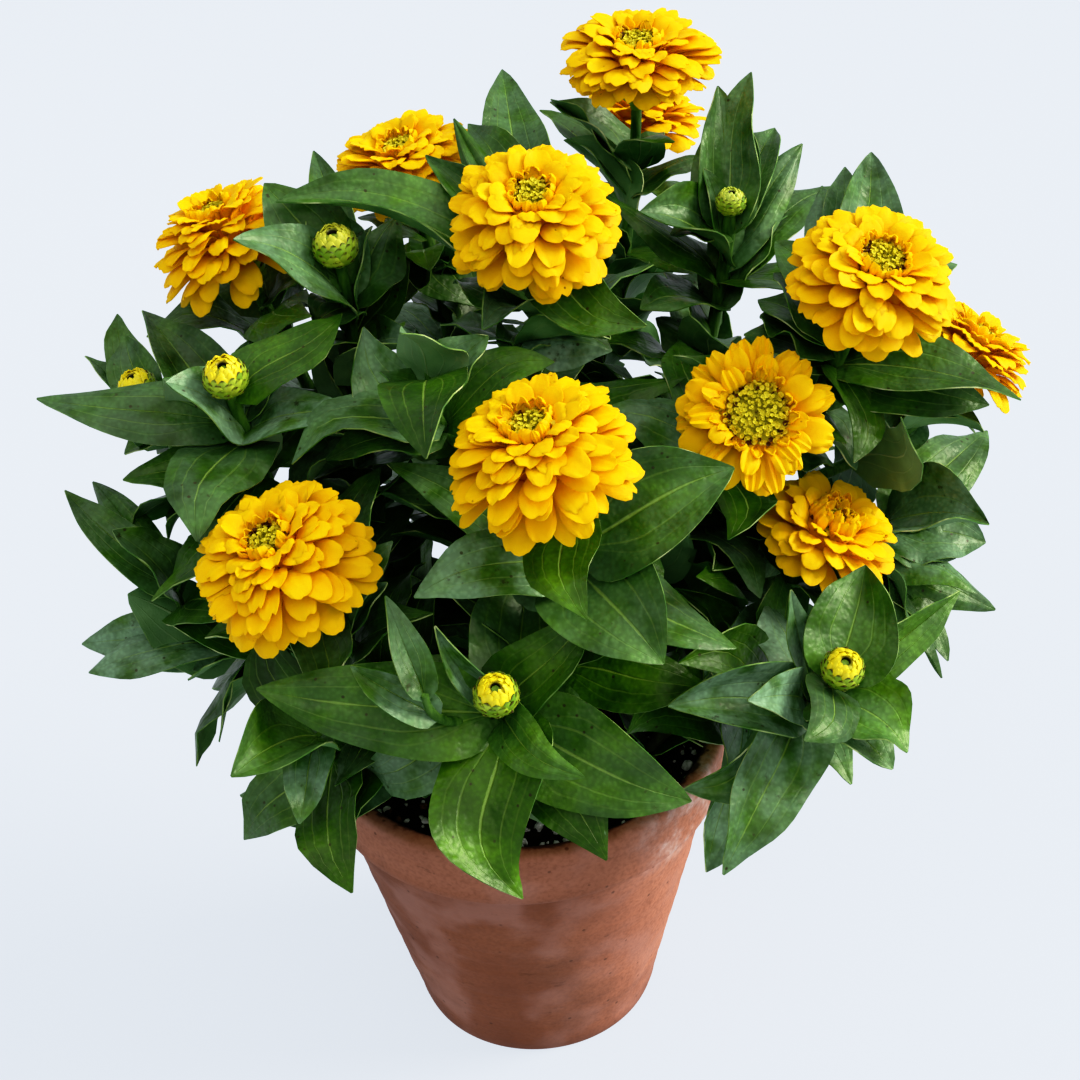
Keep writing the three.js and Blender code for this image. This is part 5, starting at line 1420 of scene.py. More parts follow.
def shaped_leaf(leaf, draw):
    """A copy of a flat blade bent into a leaf: egg shaped, crowned beside its midrib, wavy and swaying"""
    master = COARSE_LEAF if leaf["by_rule"] else FINE_LEAF
    grid = places_of(master)
    across, along = grid[:, 0], grid[:, 1]
    out = np.abs(across)
    outline = LEAF["outline"] * (along + 0.02) ** 0.42 * (1 - along) ** 0.84
    outline *= 1 - LEAF["narrowing"] * smooth_step(along, 0.7, 0.95)
    half_width = leaf["width"] / 2 * LEAF["wider"] * outline * smooth_step(along, -0.06, 0.08)
    half_width += LEAF["stalk"]
    fold = math.radians(leaf["fold"] + LEAF["fold"] * draw())
    length = np.linalg.norm(leaf["tip"] - leaf["start"])
    loose = LEAF["loose_by_rule"] if leaf["by_rule"] else LEAF["loose_seen"]
    sway = length * LEAF["sway"] * leaf.get("sway", loose * either_way(draw)) / 100
    wave = leaf["width"] * (LEAF["wave"][0] + LEAF["wave"][1] * draw())
    waves = LEAF["waves"][0] + LEAF["waves"][1] * draw()
    phase = 2 * math.pi * draw()
    roll_edge = LEAF["edge_roll"] * either_way(draw) ** 3
    twist = math.radians(LEAF["twist"]) * either_way(draw)
    hook = length * LEAF["hook"] * leaf.get("hook", loose * draw() ** 2) / 100
    sideways = across * half_width * math.cos(fold)
    above = half_width * math.sin(fold) * out**1.2
    above += (1 - out**2) * LEAF["crown"] * half_width
    above -= LEAF["groove"] * np.exp(-((out / 0.12) ** 2)) * (1 - along)
    above += roll_edge * half_width * smooth_step(out, 0.45, 1.0) * smooth_step(along, 0.1, 0.5)
    side_phase = np.where(across > 0, 0, LEAF["out_of_step"])
    ripple = np.sin(2 * math.pi * waves * along + phase + side_phase)
    above += wave * out**2 * ripple * smooth_step(along, 0.05, 0.3) * smooth_step(1.05 - along, 0.0, 0.3)
    turn = twist * along**2
    leaning = sideways * np.cos(turn) - above * np.sin(turn)
    above = sideways * np.sin(turn) + above * np.cos(turn)
    leaning += sway * (np.sin(math.pi * along) - 0.5 * np.sin(2 * math.pi * along))
    above -= hook * smooth_step(along, 0.6, 1.0) ** 2
    bright = leaf["bright"] / BRIGHT_AND_LIT["full"] if "bright" in leaf else BRIGHT_AND_LIT["drawn"] * draw() ** 1.5
    bloom = leaf["bloom"] / GREY_BLOOM_AND_SHEEN["full"] if "bloom" in leaf else GREY_BLOOM_AND_SHEEN["drawn"] * draw() ** 3
    return copied(master, bent(leaf, leaning, along, above), bright=bright, bloom=bloom)


SCALE = flat_blade("scale", 4, 4)


def shaped_scale(blade, draw):
    """A short rounded scale that hugs a bud or cup"""
    grid = places_of(SCALE)
    across, along = grid[:, 0], grid[:, 1]
    outline = 0.75 + 0.25 * np.sin(math.pi * np.minimum(1, along / 0.9))
    share = along * (1 - 0.28 * across**2 * along**2)
    sideways = across * blade["width"] / 2 * outline * (1 - 0.35 * along**3)
    above = -blade["cup"] * across**2 * blade["width"] / 2
    return copied(SCALE, bent(blade, sideways, share, above), tone=draw())


# Stem tube: rows of corners up it, and how much and how far along it swells where a leaf stands
STEM_ROWS = 30
KNEE = {"swell": 0.09, "reach": 0.02}
STEM_TUBE = drawn_up("stem_tube", [(1, row / STEM_ROWS) for row in range(STEM_ROWS + 1)], 10)
STEM_TUBE.data.uv_layers.new(name="blade")


def shaped_stem(route):
    """The plain tube bent along a shoot, swollen a little where leaves stand"""
    grid = places_of(STEM_TUBE)
    foot = STEM["foot_radius"] if route["soil"] else STEM["branch_radius"]
    top = STEM["head_radius"] if route["head"] else STEM["tip_radius"]
    middles, sides, others = zip(*frames_along(route["curve"], STEM_ROWS))
    share = grid[:, 2]
    row_of = np.rint(share * STEM_ROWS).astype(int)
    radius = foot + (top - foot) * share
    for leaf in thicket.leaves:
        if leaf["shoot"] == route["name"]:
            away = (share - leaf["share"]) / KNEE["reach"]
            radius = radius * (1 + KNEE["swell"] * np.exp(-(away**2)))
    places = np.array(middles)[row_of]
    places = places + np.array(sides)[row_of] * (grid[:, 0] * radius)[:, None]
    places = places + np.array(others)[row_of] * (grid[:, 1] * radius)[:, None]
    return copied(STEM_TUBE, places)


def out_of(head, angle, slope=0):
    """Direction out of a head at an angle round it, tipped up by a slope"""
    side = unit(np.cross(point(0, 1, 0), head["axis"]))
    back = np.cross(head["axis"], side)
    out = side * math.cos(angle) + back * math.sin(angle)
    return out * math.cos(slope) + head["axis"] * math.sin(slope)


def on_head(head, angle, radius, height):
    """Place at an angle round a head, so far out from its axis and so far up along it"""
    return head["place"] + out_of(head, angle) * radius + head["axis"] * height


def round_core(head, profile, **marks):
    """A turned core in a head, from radius and height pairs in mm"""
    core = drawn_up("core", [(max(radius, 0.2), height) for radius, height in profile], 20)
    move_to(core, (places_of(core) @ turn_to(head["axis"]).T + head["place"]) * MM)
    mark(core, **marks)
    core.data.uv_layers[0].name = "blade"
    return core


# Cup: radius and height of the core in it, the rows of scales on it, how many each row has and how high above
# the last it starts, and how long, wide and proud of the cup the scales are
CUP_CORE = ((2.4, CUP["foot"]), (2.8, -18), (5.3, CUP["waist"]), (7.9, -9), (7.5, CUP["top"]))
CUP_SCALES = {
    "rows": 4,
    "count": 9,
    "first": 3.5,
    "apart": 2.6,
    "length": 5.5,
    "wider": 1.25,
    "sunk": 0.2,
    "proud": 0.7,
    "slope": 25,
    "arch": 30,
    "cup": 0.3,
}


def cup_scales(bloom, draw):
    """Overlapping scales of the green cup under a bloom"""
    levels = (CUP["foot"], CUP["waist"], CUP["top"])
    radii = (CUP["foot_radius"], CUP["waist_radius"], CUP["top_radius"])
    count = CUP_SCALES["count"]
    scales = []
    for row in range(CUP_SCALES["rows"]):
        low = CUP["foot"] + CUP_SCALES["first"] + row * CUP_SCALES["apart"]
        high = low + CUP_SCALES["length"]
        low_radius = np.interp(low, levels, radii)
        high_radius = np.interp(high, levels, radii) + CUP_SCALES["proud"]
        for index in range(count):
            angle = (index + row * 0.5) * 2 * math.pi / count
            blade = {
                "start": on_head(bloom, angle, low_radius - CUP_SCALES["sunk"], low),
                "tip": on_head(bloom, angle, high_radius, high),
                "face": out_of(bloom, angle, math.radians(CUP_SCALES["slope"])),
                "width": high_radius * 2 * math.pi / count * CUP_SCALES["wider"],
                "arch": CUP_SCALES["arch"],
                "roll": 0,
                "cup": CUP_SCALES["cup"],
            }
            scales.append(shaped_scale(blade, draw))
    return scales


def ball_blade(bud, angle, rows, width, cup):
    """A blade that hugs a bud's ball, from one polar angle and share of its radius to another"""
    (low_polar, low_share), (high_polar, high_share) = rows
    size = bud["radius"]
    middle = BUD_BALL["middle"] * size
    ends = []
    for polar, share in ((low_polar, low_share), (high_polar, high_share)):
        turn = math.radians(polar)
        radius = size * share * math.sin(turn)
        ends.append(on_head(bud, angle, radius, middle - size * BUD_BALL["tall"] * share * math.cos(turn)))
    facing = math.radians((low_polar + high_polar) / 2 - 90)
    return {
        "start": ends[0],
        "tip": ends[1],
        "face": out_of(bud, angle, facing),
        "width": width * size,
        "arch": (high_polar - low_polar) * 0.9,
        "roll": 0,
        "cup": cup,
    }


# Thickness of each kind of blade
THICK = {"leaf": 0.45, "scale": 0.45, "petal": 0.32, "young_petal": 0.4}

# Bud: place and height of its ball and size of the core in it, in shares of its radius
BUD_BALL = {"middle": -0.1, "tall": 0.96, "core": 0.88}

# Polar angles round a bud's ball of the lower and upper part of its core, and tone of a core under scales
SCALE_CORE = range(12, 133, 15)
PETAL_CORE = range(106, 160, 12)
CORE_TONE = 0.1

# Rows up a bud: number of blades, polar angle and share of the radius at their foot and tip, width, and how
# much each curls round the ball. Then how far out of line they stand, and radius and height of the hole in
# the bud's middle
BUD_SCALES = (
    (8, (22, 0.9), (66, 1.02), 0.62, 0.35),
    (10, (42, 0.92), (86, 1.03), 0.74, 0.35),
    (11, (62, 0.93), (104, 1.03), 0.76, 0.32),
    (12, (80, 0.93), (119, 1.02), 0.7, 0.3),
    (12, (94, 0.92), (130, 1.0), 0.64, 0.3),
)
BUD_PETALS = (
    (10, (106, 0.9), (142, 1.02), 0.62, 0.3),
    (9, (118, 0.88), (154, 1.02), 0.56, 0.35),
    (7, (130, 0.84), (164, 0.95), 0.46, 0.45),
)
LOOSE = {"scales": 0.15, "petals": 0.5, "tip_angle": 14, "tip_share": 0.12}
BUD_HOLE = ((0.26, 0.68), (0.2, 0.62), (0.15, 0.3), (0.08, 0.2))


def bud_rows(bud, rows, loose, draw):
    """Rows of blades up a bud, each a little out of line by a share of the room it has"""
    blades = []
    for row, (count, low, high, width, cup) in enumerate(rows):
        for index in range(count):
            angle = (index + row * 0.5 + loose * draw()) * 2 * math.pi / count
            tip_angle = high[0] + LOOSE["tip_angle"] * loose * (draw() - 0.5)
            tip_share = high[1] * (1 + LOOSE["tip_share"] * loose * (draw() - 0.5))
            wide = width * (1 + loose * (draw() - 0.5))
            blade = ball_blade(bud, angle, (low, (tip_angle, tip_share)), wide, cup)
            blades.append(shaped_scale(blade, draw))
    return blades


def bud_core(bud, polars, hole, **marks):
    """A piece of ball inside a bud's blades, with a hole in its top if one is given"""
    size = bud["radius"]
    profile = []
    for polar in polars:
        turn = math.radians(polar)
        height = BUD_BALL["middle"] - BUD_BALL["tall"] * BUD_BALL["core"] * math.cos(turn)
        profile.append((size * BUD_BALL["core"] * math.sin(turn), size * height))
    profile += [(size * out, size * height) for out, height in hole]
    return round_core(bud, profile, **marks)


def leafy_stem(plant, draw):
    """All that grew as one: the shoots of a plant, their leaves, and the scales of its cups and buds"""
    own = [leaf for leaf in thicket.leaves if leaf["plant"] == plant]
    blades = joined(plant + "_leaves", [shaped_leaf(leaf, draw) for leaf in own])
    clad(blades, LEAF_UPPER, LEAF_UNDER, LEAF_MARGIN)
    finish_with(blades, "SOLIDIFY", thickness=THICK["leaf"] * MM, offset=0,
                material_offset=1, material_offset_rim=2)
    parts = [blades]
    scales = []
    for route in routes.values():
        if route["plant"] != plant:
            continue
        tube = shaped_stem(route)
        clad(tube, STEM_SKIN)
        parts.append(tube)
        head = route["head"]
        if route["kind"] == "bloom":
            parts.append(round_core(head, CUP_CORE, tone=CORE_TONE))
            clad(parts[-1], BRACT)
            scales += cup_scales(head, draw)
        elif route["kind"] == "bud":
            parts.append(bud_core(head, SCALE_CORE, (), tone=CORE_TONE))
            clad(parts[-1], BRACT)
            scales += bud_rows(head, BUD_SCALES, LOOSE["scales"], draw)
    if scales:
        coat = joined(plant + "_scales", scales)
        clad(coat, BRACT)
        finish_with(coat, "SOLIDIFY", thickness=THICK["scale"] * MM, offset=0)
        parts.append(coat)
    delivered(joined(plant + "_shoots", parts), "leafy_stem_" + plant, smooth_below=50)


# Blooms

PETAL_BLADE = flat_blade("petal_blade", 6, 6)

# Petal: where its round end begins, its widths from the lowest to the highest, how wide its claw is against
# them, its arches and hollows, and how deep its notch and lengthwise folds are at most. Then the most that
# its place round the bloom, reach, tip, arch, roll, hollow, midrib, bent end and skewed end stray
SPOON = {
    "end": 0.66,
    "widths": (10.8, 8.2),
    "few_widths": (9.6, 7.4),
    "claw": 0.34,
    "few_claw": 0.55,
    "arches": (70, 104),
    "hollows": (-0.15, 0.05),
    "notch": 0.12,
    "folds": 0.26,
    "few_folds": 0.6,
}
STRAY = {
    "angle": 0.24,
    "reach": 0.06,
    "tip": 1.3,
    "arch": 16,
    "roll": 15,
    "hollow": 0.1,
    "midrib": 0.35,
    "bent_end": 1.1,
    "skewed_end": 0.6,
}

# Young petals round the disc: how far their tips rise and lean out, their width, least and further share of
# it and least and further arch, roll and hollow, how deep and how far inside the disc's edge they start, and
# how far they stray
YOUNG = {
    "rise": (-1.2, 1.2),
    "lean": (-1.0, 1.8),
    "width": 4.0,
    "widths": (0.75, 0.5),
    "arches": (50, 50),
    "roll": 20,
    "hollow": -0.8,
    "sunk": 0.6,
    "within": 0.4,
    "stray_out": 1.2,
    "stray_round": 0.6,
    "stray_tip": 0.2,
}

# A bloom with so many petals at most has wider claws, deeper folds, and young ones that lean further out
FEW = {"petals": 45, "lean": (1.0, 6.0)}

# A bloom with more young petals than this has them across most of its disc, and they stand taller
CROWDED = {"young": 30, "inner_share": 0.2, "taller": 2.6}


def core_profile(bloom):
    top = bloom["rise"] - CORE["below_dome"]
    shoulder = bloom["disc"] + CORE["past_disc"]
    wall = max(CORE["wall_radius"], shoulder)
    return [(CORE["foot_radius"], CORE["foot"]), (wall, CORE["wall_height"]), (shoulder, top)]


def root_radius(profile, height):
    radii, levels = zip(*profile)
    return CORE["root_share"] * float(np.interp(height, levels, radii))


def petal_blades(bloom, draw):
    """Petals in a spiral from the drooping outermost ones up to those that stand round the disc"""
    profile = core_profile(bloom)
    core_top = profile[2][1]
    inner_reach = bloom["disc"] + PETAL["clear_of_disc"]
    inner_share = math.cos(HIGHEST_PETAL)
    many = bloom["petals"] > FEW["petals"]
    widths = SPOON["widths"] if many else SPOON["few_widths"]
    for index in range(bloom["petals"]):
        share = index / (bloom["petals"] - 1)
        angle = index * GOLDEN_ANGLE + STRAY["angle"] * either_way(draw)
        climb = lerp(LOWEST_PETAL, HIGHEST_PETAL, share)
        if climb < 0:
            tip_height = -bloom["hang"] * math.sin(climb) / math.sin(LOWEST_PETAL)
        else:
            tip_height = bloom["rise"] * math.sin(climb) / math.sin(HIGHEST_PETAL)
        reach = lerp(inner_reach, bloom["reach"], (math.cos(climb) - inner_share) / (1 - inner_share))
        reach *= PETAL["drawn_in"] + STRAY["reach"] * either_way(draw)
        root_height = lerp(PETAL["lowest_root"], core_top + PETAL["highest_root"], share)
        yield {
            "start": on_head(bloom, angle, root_radius(profile, root_height), root_height),
            "tip": on_head(bloom, angle, reach, tip_height + STRAY["tip"] * either_way(draw)),
            "face": bloom["axis"],
            "width": lerp(*widths, share) * (0.84 + 0.3 * draw()),
            "arch": lerp(*SPOON["arches"], share) + STRAY["arch"] * either_way(draw),
            "roll": STRAY["roll"] * either_way(draw),
            "hollow": lerp(*SPOON["hollows"], share),
            "claw": SPOON["claw"] if many else SPOON["few_claw"],
            "folds": SPOON["folds"] if many else SPOON["few_folds"],
        }


def young_blades(bloom, draw):
    """Small curled petals that still stand round the disc or, in a crowded bloom, across most of it"""
    leans = YOUNG["lean"] if bloom["petals"] > FEW["petals"] else FEW["lean"]
    crowded = bloom["young"] > CROWDED["young"]
    step = GOLDEN_ANGLE if crowded else 2 * math.pi / bloom["young"]
    taller = CROWDED["taller"] if crowded else 0
    foot = bloom["rise"] - CORE["below_dome"] - YOUNG["sunk"]
    for index in range(bloom["young"]):
        angle = (index + YOUNG["stray_round"] * draw()) * step
        inward = lerp(CROWDED["inner_share"], 1, math.sqrt(draw())) if crowded else 1
        stand = (bloom["disc"] - YOUNG["within"]) * inward + YOUNG["stray_out"] * draw()
        lean = bloom["disc"] * inward + lerp(*leans, draw())
        height = bloom["rise"] + lerp(*YOUNG["rise"], draw()) + taller
        yield {
            "start": on_head(bloom, angle, stand, foot),
            "tip": on_head(bloom, angle + YOUNG["stray_tip"] * (draw() - 0.5), lean, height),
            "face": out_of(bloom, angle),
            "width": YOUNG["width"] * (YOUNG["widths"][0] + YOUNG["widths"][1] * draw()),
            "arch": YOUNG["arches"][0] + YOUNG["arches"][1] * draw(),
            "roll": YOUNG["roll"] * either_way(draw),
            "hollow": YOUNG["hollow"],
            "claw": SPOON["claw"],
            "folds": SPOON["folds"],
        }


def shaped_petal(blade, draw):
    """A copy of a flat blade as a petal: a narrow claw that widens to a round spoon, at times notched"""
    grid = places_of(PETAL_BLADE)
    across, along = grid[:, 0], grid[:, 1]
    end = SPOON["end"]
    cap = np.clip((along - end) / (1 - end), 0, 1)
    spread = across * np.sqrt(1 - cap**2 / 2)
    share = np.where(along > end, end + (1 - end) * cap * np.sqrt(1 - across**2 / 2), along)
    cleft = np.exp(-(((across - 0.3 * either_way(draw)) / 0.25) ** 2))
    share -= SPOON["notch"] * draw() ** 2 * cleft * smooth_step(along, 0.75, 1.0)
    swell = blade["claw"] + (1 - blade["claw"]) * np.sin(math.pi / 2 * np.minimum(1, along / 0.68))
    sideways = spread * blade["width"] / 2 * swell
    hollow = blade["hollow"] + STRAY["hollow"] * either_way(draw)
    above = hollow * across**2 * blade["width"] / 2
    midrib = STRAY["midrib"] * either_way(draw)
    above += midrib * np.exp(-((across / 0.4) ** 2)) * smooth_step(along, 0.2, 0.6)
    folds = blade["folds"] * (0.4 + 0.6 * draw())
    above += folds * np.cos(3 * math.pi * across) * smooth_step(along, 0.1, 0.5)
    above += STRAY["bent_end"] * either_way(draw) * smooth_step(along, 0.65, 1.0) ** 2
    skew = STRAY["skewed_end"] * either_way(draw)
    above += skew * np.sin(math.pi * across) * smooth_step(along, 0.5, 1.0)
    return copied(PETAL_BLADE, bent(blade, sideways, share, above), tone=draw())


def bloom_petals(bloom, draw):
    blades = [*petal_blades(bloom, draw), *young_blades(bloom, draw)]
    coat = joined(bloom["name"] + "_petal_coat", [shaped_petal(blade, draw) for blade in blades])
    clad(coat, PETAL_SATIN)
    finish_with(coat, "SOLIDIFY", thickness=THICK["petal"] * MM, offset=0)
    core = round_core(bloom, core_profile(bloom), tone=0.0)
    clad(core, PETAL_SATIN)
    whole = joined(bloom["name"] + "_petals", [coat, core])
    delivered(whole, "bloom_" + bloom["name"] + "_petals", smooth_below=60)


FLORET_BELL = drawn_up("floret_bell", [(0.35, 0.0), (0.4, 0.6), (1.0, 1.0), (0.3, 0.8)], 10)

# Disc: florets for each mm of its radius squared, their widths and heights from the middle to the rim, how
# far their mouths open into stars, how much they tilt and lean out, how high its dome is, and how deep and
# wide the hollow in its middle. Then how far the painted shade in the hollow of its middle reaches and how
# dark it is, how many florets past some share of its radius have withered, how far the florets stand in from
# its edge and are sunk, and the marks of the core under them
DISC = {
    "share": 2.5,
    "widths": (0.45, 0.85),
    "heights": (1.6, 2.9),
    "starry": 0.55,
    "points": 5,
    "tilt": 1.3,
    "lean": 0.5,
    "dome": 2.6,
    "hollow": 3.0,
    "hollow_wide": 0.2,
    "dark_middle": 0.1,
    "dark": 0.8,
    "withered": 0.2,
    "withered_from": 0.72,
    "within": 0.9,
    "sunk": 0.4,
    "core_ring": 0.2,
    "core_height": 0.6,
}


def bloom_disc(bloom, draw):
    """Crowded florets on a low dome, open round its rim, with a hollow in its middle painted dark as shade"""
    grid = places_of(FLORET_BELL)
    radius = bloom["disc"]
    foot = bloom["rise"] - CORE["below_dome"] + SOIL["seat"]
    count = int(radius**2 * DISC["share"])
    mouth = grid[:, 2] > 0.9
    starry = 1 + DISC["starry"] * np.cos(DISC["points"] * np.arctan2(grid[:, 1], grid[:, 0])) * mouth
    florets = []
    for index in range(count):
        share = math.sqrt((index + 0.5) / count)
        angle = index * GOLDEN_ANGLE
        height = foot + DISC["dome"] * (1 - share**2)
        height -= DISC["hollow"] * math.exp(-((share / DISC["hollow_wide"]) ** 2))
        place = on_head(bloom, angle, (radius - DISC["within"]) * share, height - DISC["sunk"])
        tilt = point(draw() - 0.5, draw() - 0.5, draw() - 0.5) * DISC["tilt"]
        axis = unit(bloom["axis"] + out_of(bloom, angle) * DISC["lean"] * share + tilt)
        wide = lerp(*DISC["widths"], share) * (0.8 + 0.4 * draw())
        tall = lerp(*DISC["heights"], share**2) * (0.75 + 0.5 * draw())
        shape = grid * (wide, wide, tall)
        shape[:, :2] *= starry[:, None]
        places = shape @ turn_to(axis).T + place
        withered = float(share > DISC["withered_from"] and draw() < DISC["withered"])
        # Painted shade: florets in the hollow of the disc's middle take the withered brown
        if share < DISC["dark_middle"]:
            withered = DISC["dark"]
        marks = {"tone": draw(), "ring": share, "height": grid[:, 2], "withered": withered}
        florets.append(copied(FLORET_BELL, places, **marks))
    profile = [(radius - 1.2, foot), (radius - 0.7, foot + 0.7)]
    profile += [(radius * 0.6, foot + 1.2), (radius * 0.2, foot + 0.6)]
    marks = {"tone": 0.0, "ring": DISC["core_ring"], "height": DISC["core_height"], "withered": 0.0}
    core = round_core(bloom, profile, **marks)
    whole = joined(bloom["name"] + "_disc", [*florets, core])
    clad(whole, FLORET)
    delivered(whole, "bloom_" + bloom["name"] + "_disc", smooth_below=50)


def bud_crown(bud, draw):
    """Young petals closing over the top of a bud, with a hollow in the middle that is painted dark as shade"""
    coat = joined(bud["name"] + "_young_petals", bud_rows(bud, BUD_PETALS, LOOSE["petals"], draw))
    finish_with(coat, "SOLIDIFY", thickness=THICK["young_petal"] * MM, offset=0)
    mark(coat, yellow=bud["yellow"], hole=0.0)
    core = bud_core(bud, PETAL_CORE, BUD_HOLE, tone=0.0, yellow=bud["yellow"])
    off_axis = np.linalg.norm(np.cross(places_of(core) / MM - bud["place"], bud["axis"]), axis=1)
    mark(core, hole=1 - smooth_step(off_axis / bud["radius"], BUD_HOLE[1][0], BUD_HOLE[0][0] + 0.06))
    whole = joined(bud["name"] + "_bud_crown", [coat, core])
    clad(whole, CROWN_SKIN)
    delivered(whole, "bud_" + bud["name"] + "_crown", smooth_below=50)


# Pot and soil

# Rows of corners up the pot's wall and band and down its inside, and the sides of the pot, soil and drill
ROWS = {"wall": 34, "band": 9, "inside": 13}
SIDES = {"pot": 144, "soil": 132, "drill": 28}

# Wear of the pot: depth and size of its shallow dents, and the heights between which they begin
WEAR = {"depth": 0.28, "size": 50, "from": (4, 20)}


def pot_profile():
    """The pot's outline in radius and height, from under the foot, up the outside with the faint rings that
    a thrower's fingers leave, and down the inside"""
    band_foot = POT["height"] - POT["band_height"]
    base, neck, lip = POT["base_radius"], POT["neck_radius"], POT["lip_outer_radius"]
    inner, inner_floor = POT["lip_inner_radius"], POT["inner_floor_radius"]
    lip_end = 137.4
    profile = [(base - 3, 0.0), (base - 1.2, 0.1), (base - 0.3, 0.5), (base, 1.3)]
    for row in range(1, ROWS["wall"]):
        share = row / ROWS["wall"]
        ripple = 0.12 * math.sin(row * 1.9) + 0.1 * math.sin(row * 0.83 + 1)
        profile.append((lerp(base, neck, share) + ripple, lerp(1.3, band_foot - 1.5, share)))
    profile += [(neck + 0.2, band_foot - 1.2), (neck + 1.2, band_foot - 0.3), (neck + 3.2, band_foot + 0.3)]
    for row in range(ROWS["band"]):
        share = row / (ROWS["band"] - 1)
        ripple = 0.15 * math.sin(row * 2.1)
        height = lerp(band_foot + 1.5, POT["height"] - 3.2, share)
        profile.append((lerp(POT["band_foot_radius"], lip, share) + ripple, height))
    profile += [(lip - 0.1, 138.2), (lip - 0.7, 139.3), (lip - 1.8, 139.9), (lip - 3.4, 140.0)]
    profile += [(inner + 2, 139.9), (inner + 0.9, 139.5), (inner + 0.25, 138.6), (inner, lip_end)]
    for row in range(1, ROWS["inside"] + 1):
        share = row / ROWS["inside"]
        radius = lerp(inner, inner_floor + 0.8, share)
        profile.append((radius, lerp(lip_end, POT["floor"] + 0.8, share)))
    profile += [(inner_floor - 0.5, POT["floor"]), (20, POT["floor"])]
    return profile


# Chips in the pot's rim: radius of the circle they lie on, then angle round it, height, size and depth
CHIP_CIRCLE = 79
CHIPS = ((-62, 139.6, 4.5, 1.1), (-118, 139.8, 3, 0.7), (40, 139.6, 5, 1.0), (171, 139.7, 3.6, 0.9))


def thrown_pot():
    """The pot with its drain holes, shallow dents and chipped rim"""
    profile = [(radius * MM, height * MM) for radius, height in pot_profile()]
    pot = drawn_up("clay_pot", profile, SIDES["pot"])
    circle = POT["drain_circle"] * MM
    for index in range(POT["drains"]):
        angle = index * 2 * math.pi / POT["drains"]
        deselect()
        bpy.ops.mesh.primitive_cylinder_add(
            vertices=SIDES["drill"],
            radius=POT["drain_radius"] * MM,
            depth=40 * MM,
            location=(circle * math.cos(angle), circle * math.sin(angle), 0),
        )
        drill = bpy.context.object
        finish_with(pot, "BOOLEAN", object=drill, operation="DIFFERENCE", solver="EXACT")
        forget(drill)
    places = places_of(pot) / MM
    radius = np.hypot(places[:, 0], places[:, 1])
    worn = np.array([WEAR["depth"] * noise.noise(Vector(place) / WEAR["size"]) for place in places])
    worn *= smooth_step(places[:, 2], *WEAR["from"])
    for chip_angle, chip_height, size, depth in CHIPS:
        turn = math.radians(chip_angle)
        middle = point(CHIP_CIRCLE * math.cos(turn), CHIP_CIRCLE * math.sin(turn), chip_height)
        away = np.linalg.norm(places - middle, axis=1) / size
        worn -= depth * np.clip(1 - away**2, 0, 1)
    places[:, :2] *= ((radius + worn) / np.maximum(radius, 1))[:, None]
    move_to(pot, places * MM)
    clad(pot, TERRACOTTA)
    delivered(pot, "pot", smooth_below=50)


# Lumps of the soil's surface: size, depth, and the level at which the noise behind them is cut
GROUND_LUMPS = ((16, 1.6, 3), (5.5, 0.9, 7), (2.4, 0.5, 11))

# Shape of a bit in the soil: how much it is smoothed, size and depth of its knobs, how far from the pot's
# middle it may lie, the most it turns in radians, and its least and further share of the size on each axis
BIT = {
    "smoothed": 0.2,
    "knob_size": 1.7,
    "knobs": 0.45,
    "within": 69.5,
    "turn": 6.28,
    "shares": ((0.8, 0.5), (0.7, 0.4), (0.55, 0.4)),
}

# Bits in the soil: kind of lump, number, least and greatest size, how far they stand proud, and material
SOIL_BITS = (
    ("clod", 170, (1.2, 3.6), 0.1, PEAT),
    ("grain", 330, (0.5, 1.4), 0.2, PEAT),
    ("clod", 120, (1.3, 2.9), 0.35, PERLITE),
    ("grain", 320, (0.6, 1.7), 0.35, PERLITE),
    ("grain", 150, (0.7, 2.4), 0.25, BARK),
)


def inner_wall(height):
    """Radius of the pot's inside at a height"""
    share = (height - POT["floor"]) / (POT["height"] - 1 - POT["floor"])
    return lerp(POT["inner_floor_radius"], POT["lip_inner_radius"], share)


def ground(x, y):
    """Height of the crumbly soil at a place, in mm"""
    height = soil_height(math.hypot(x, y))
    for size, depth, level in GROUND_LUMPS:
        height += depth * noise.noise(Vector((x / size, y / size, level)))
    return height


def lump(name, subdivisions):
    """An uneven lump, for the bits that lie in the soil"""
    deselect()
    bpy.ops.mesh.primitive_ico_sphere_add(subdivisions=subdivisions, radius=1, location=(0, 0, 0))
    crumb = bpy.context.object
    crumb.name = name + "_master"
    bpy.ops.object.mode_set(mode="EDIT")
    bpy.ops.mesh.select_all(action="SELECT")
    bpy.ops.mesh.vertices_smooth(factor=BIT["smoothed"])
    bpy.ops.object.mode_set(mode="OBJECT")
    places = places_of(crumb)
    knobs = np.array([noise.noise(Vector(place) * BIT["knob_size"]) for place in places])
    move_to(crumb, places * (1 + BIT["knobs"] * knobs)[:, None])
    return crumb


def scattered(master, count, sizes, proud, draw):
    """Copies of a lump lying on the soil, of sizes between two, each raised by a share of its size"""
    grid = places_of(master)
    bits = []
    for _ in range(count):
        angle = draw() * 2 * math.pi
        radius = BIT["within"] * math.sqrt(draw())
        size = lerp(sizes[0], sizes[1], draw() ** 2)
        x, y = radius * math.cos(angle), radius * math.sin(angle)
        turn = np.array(Matrix.Rotation(draw() * BIT["turn"], 3, (draw(), draw(), 0.3)))
        stretch = [least + further * draw() for least, further in BIT["shares"]]
        place = point(x, y, ground(x, y) + proud * size)
        bits.append(copied(master, (grid * stretch * size) @ turn.T + place))
    return bits


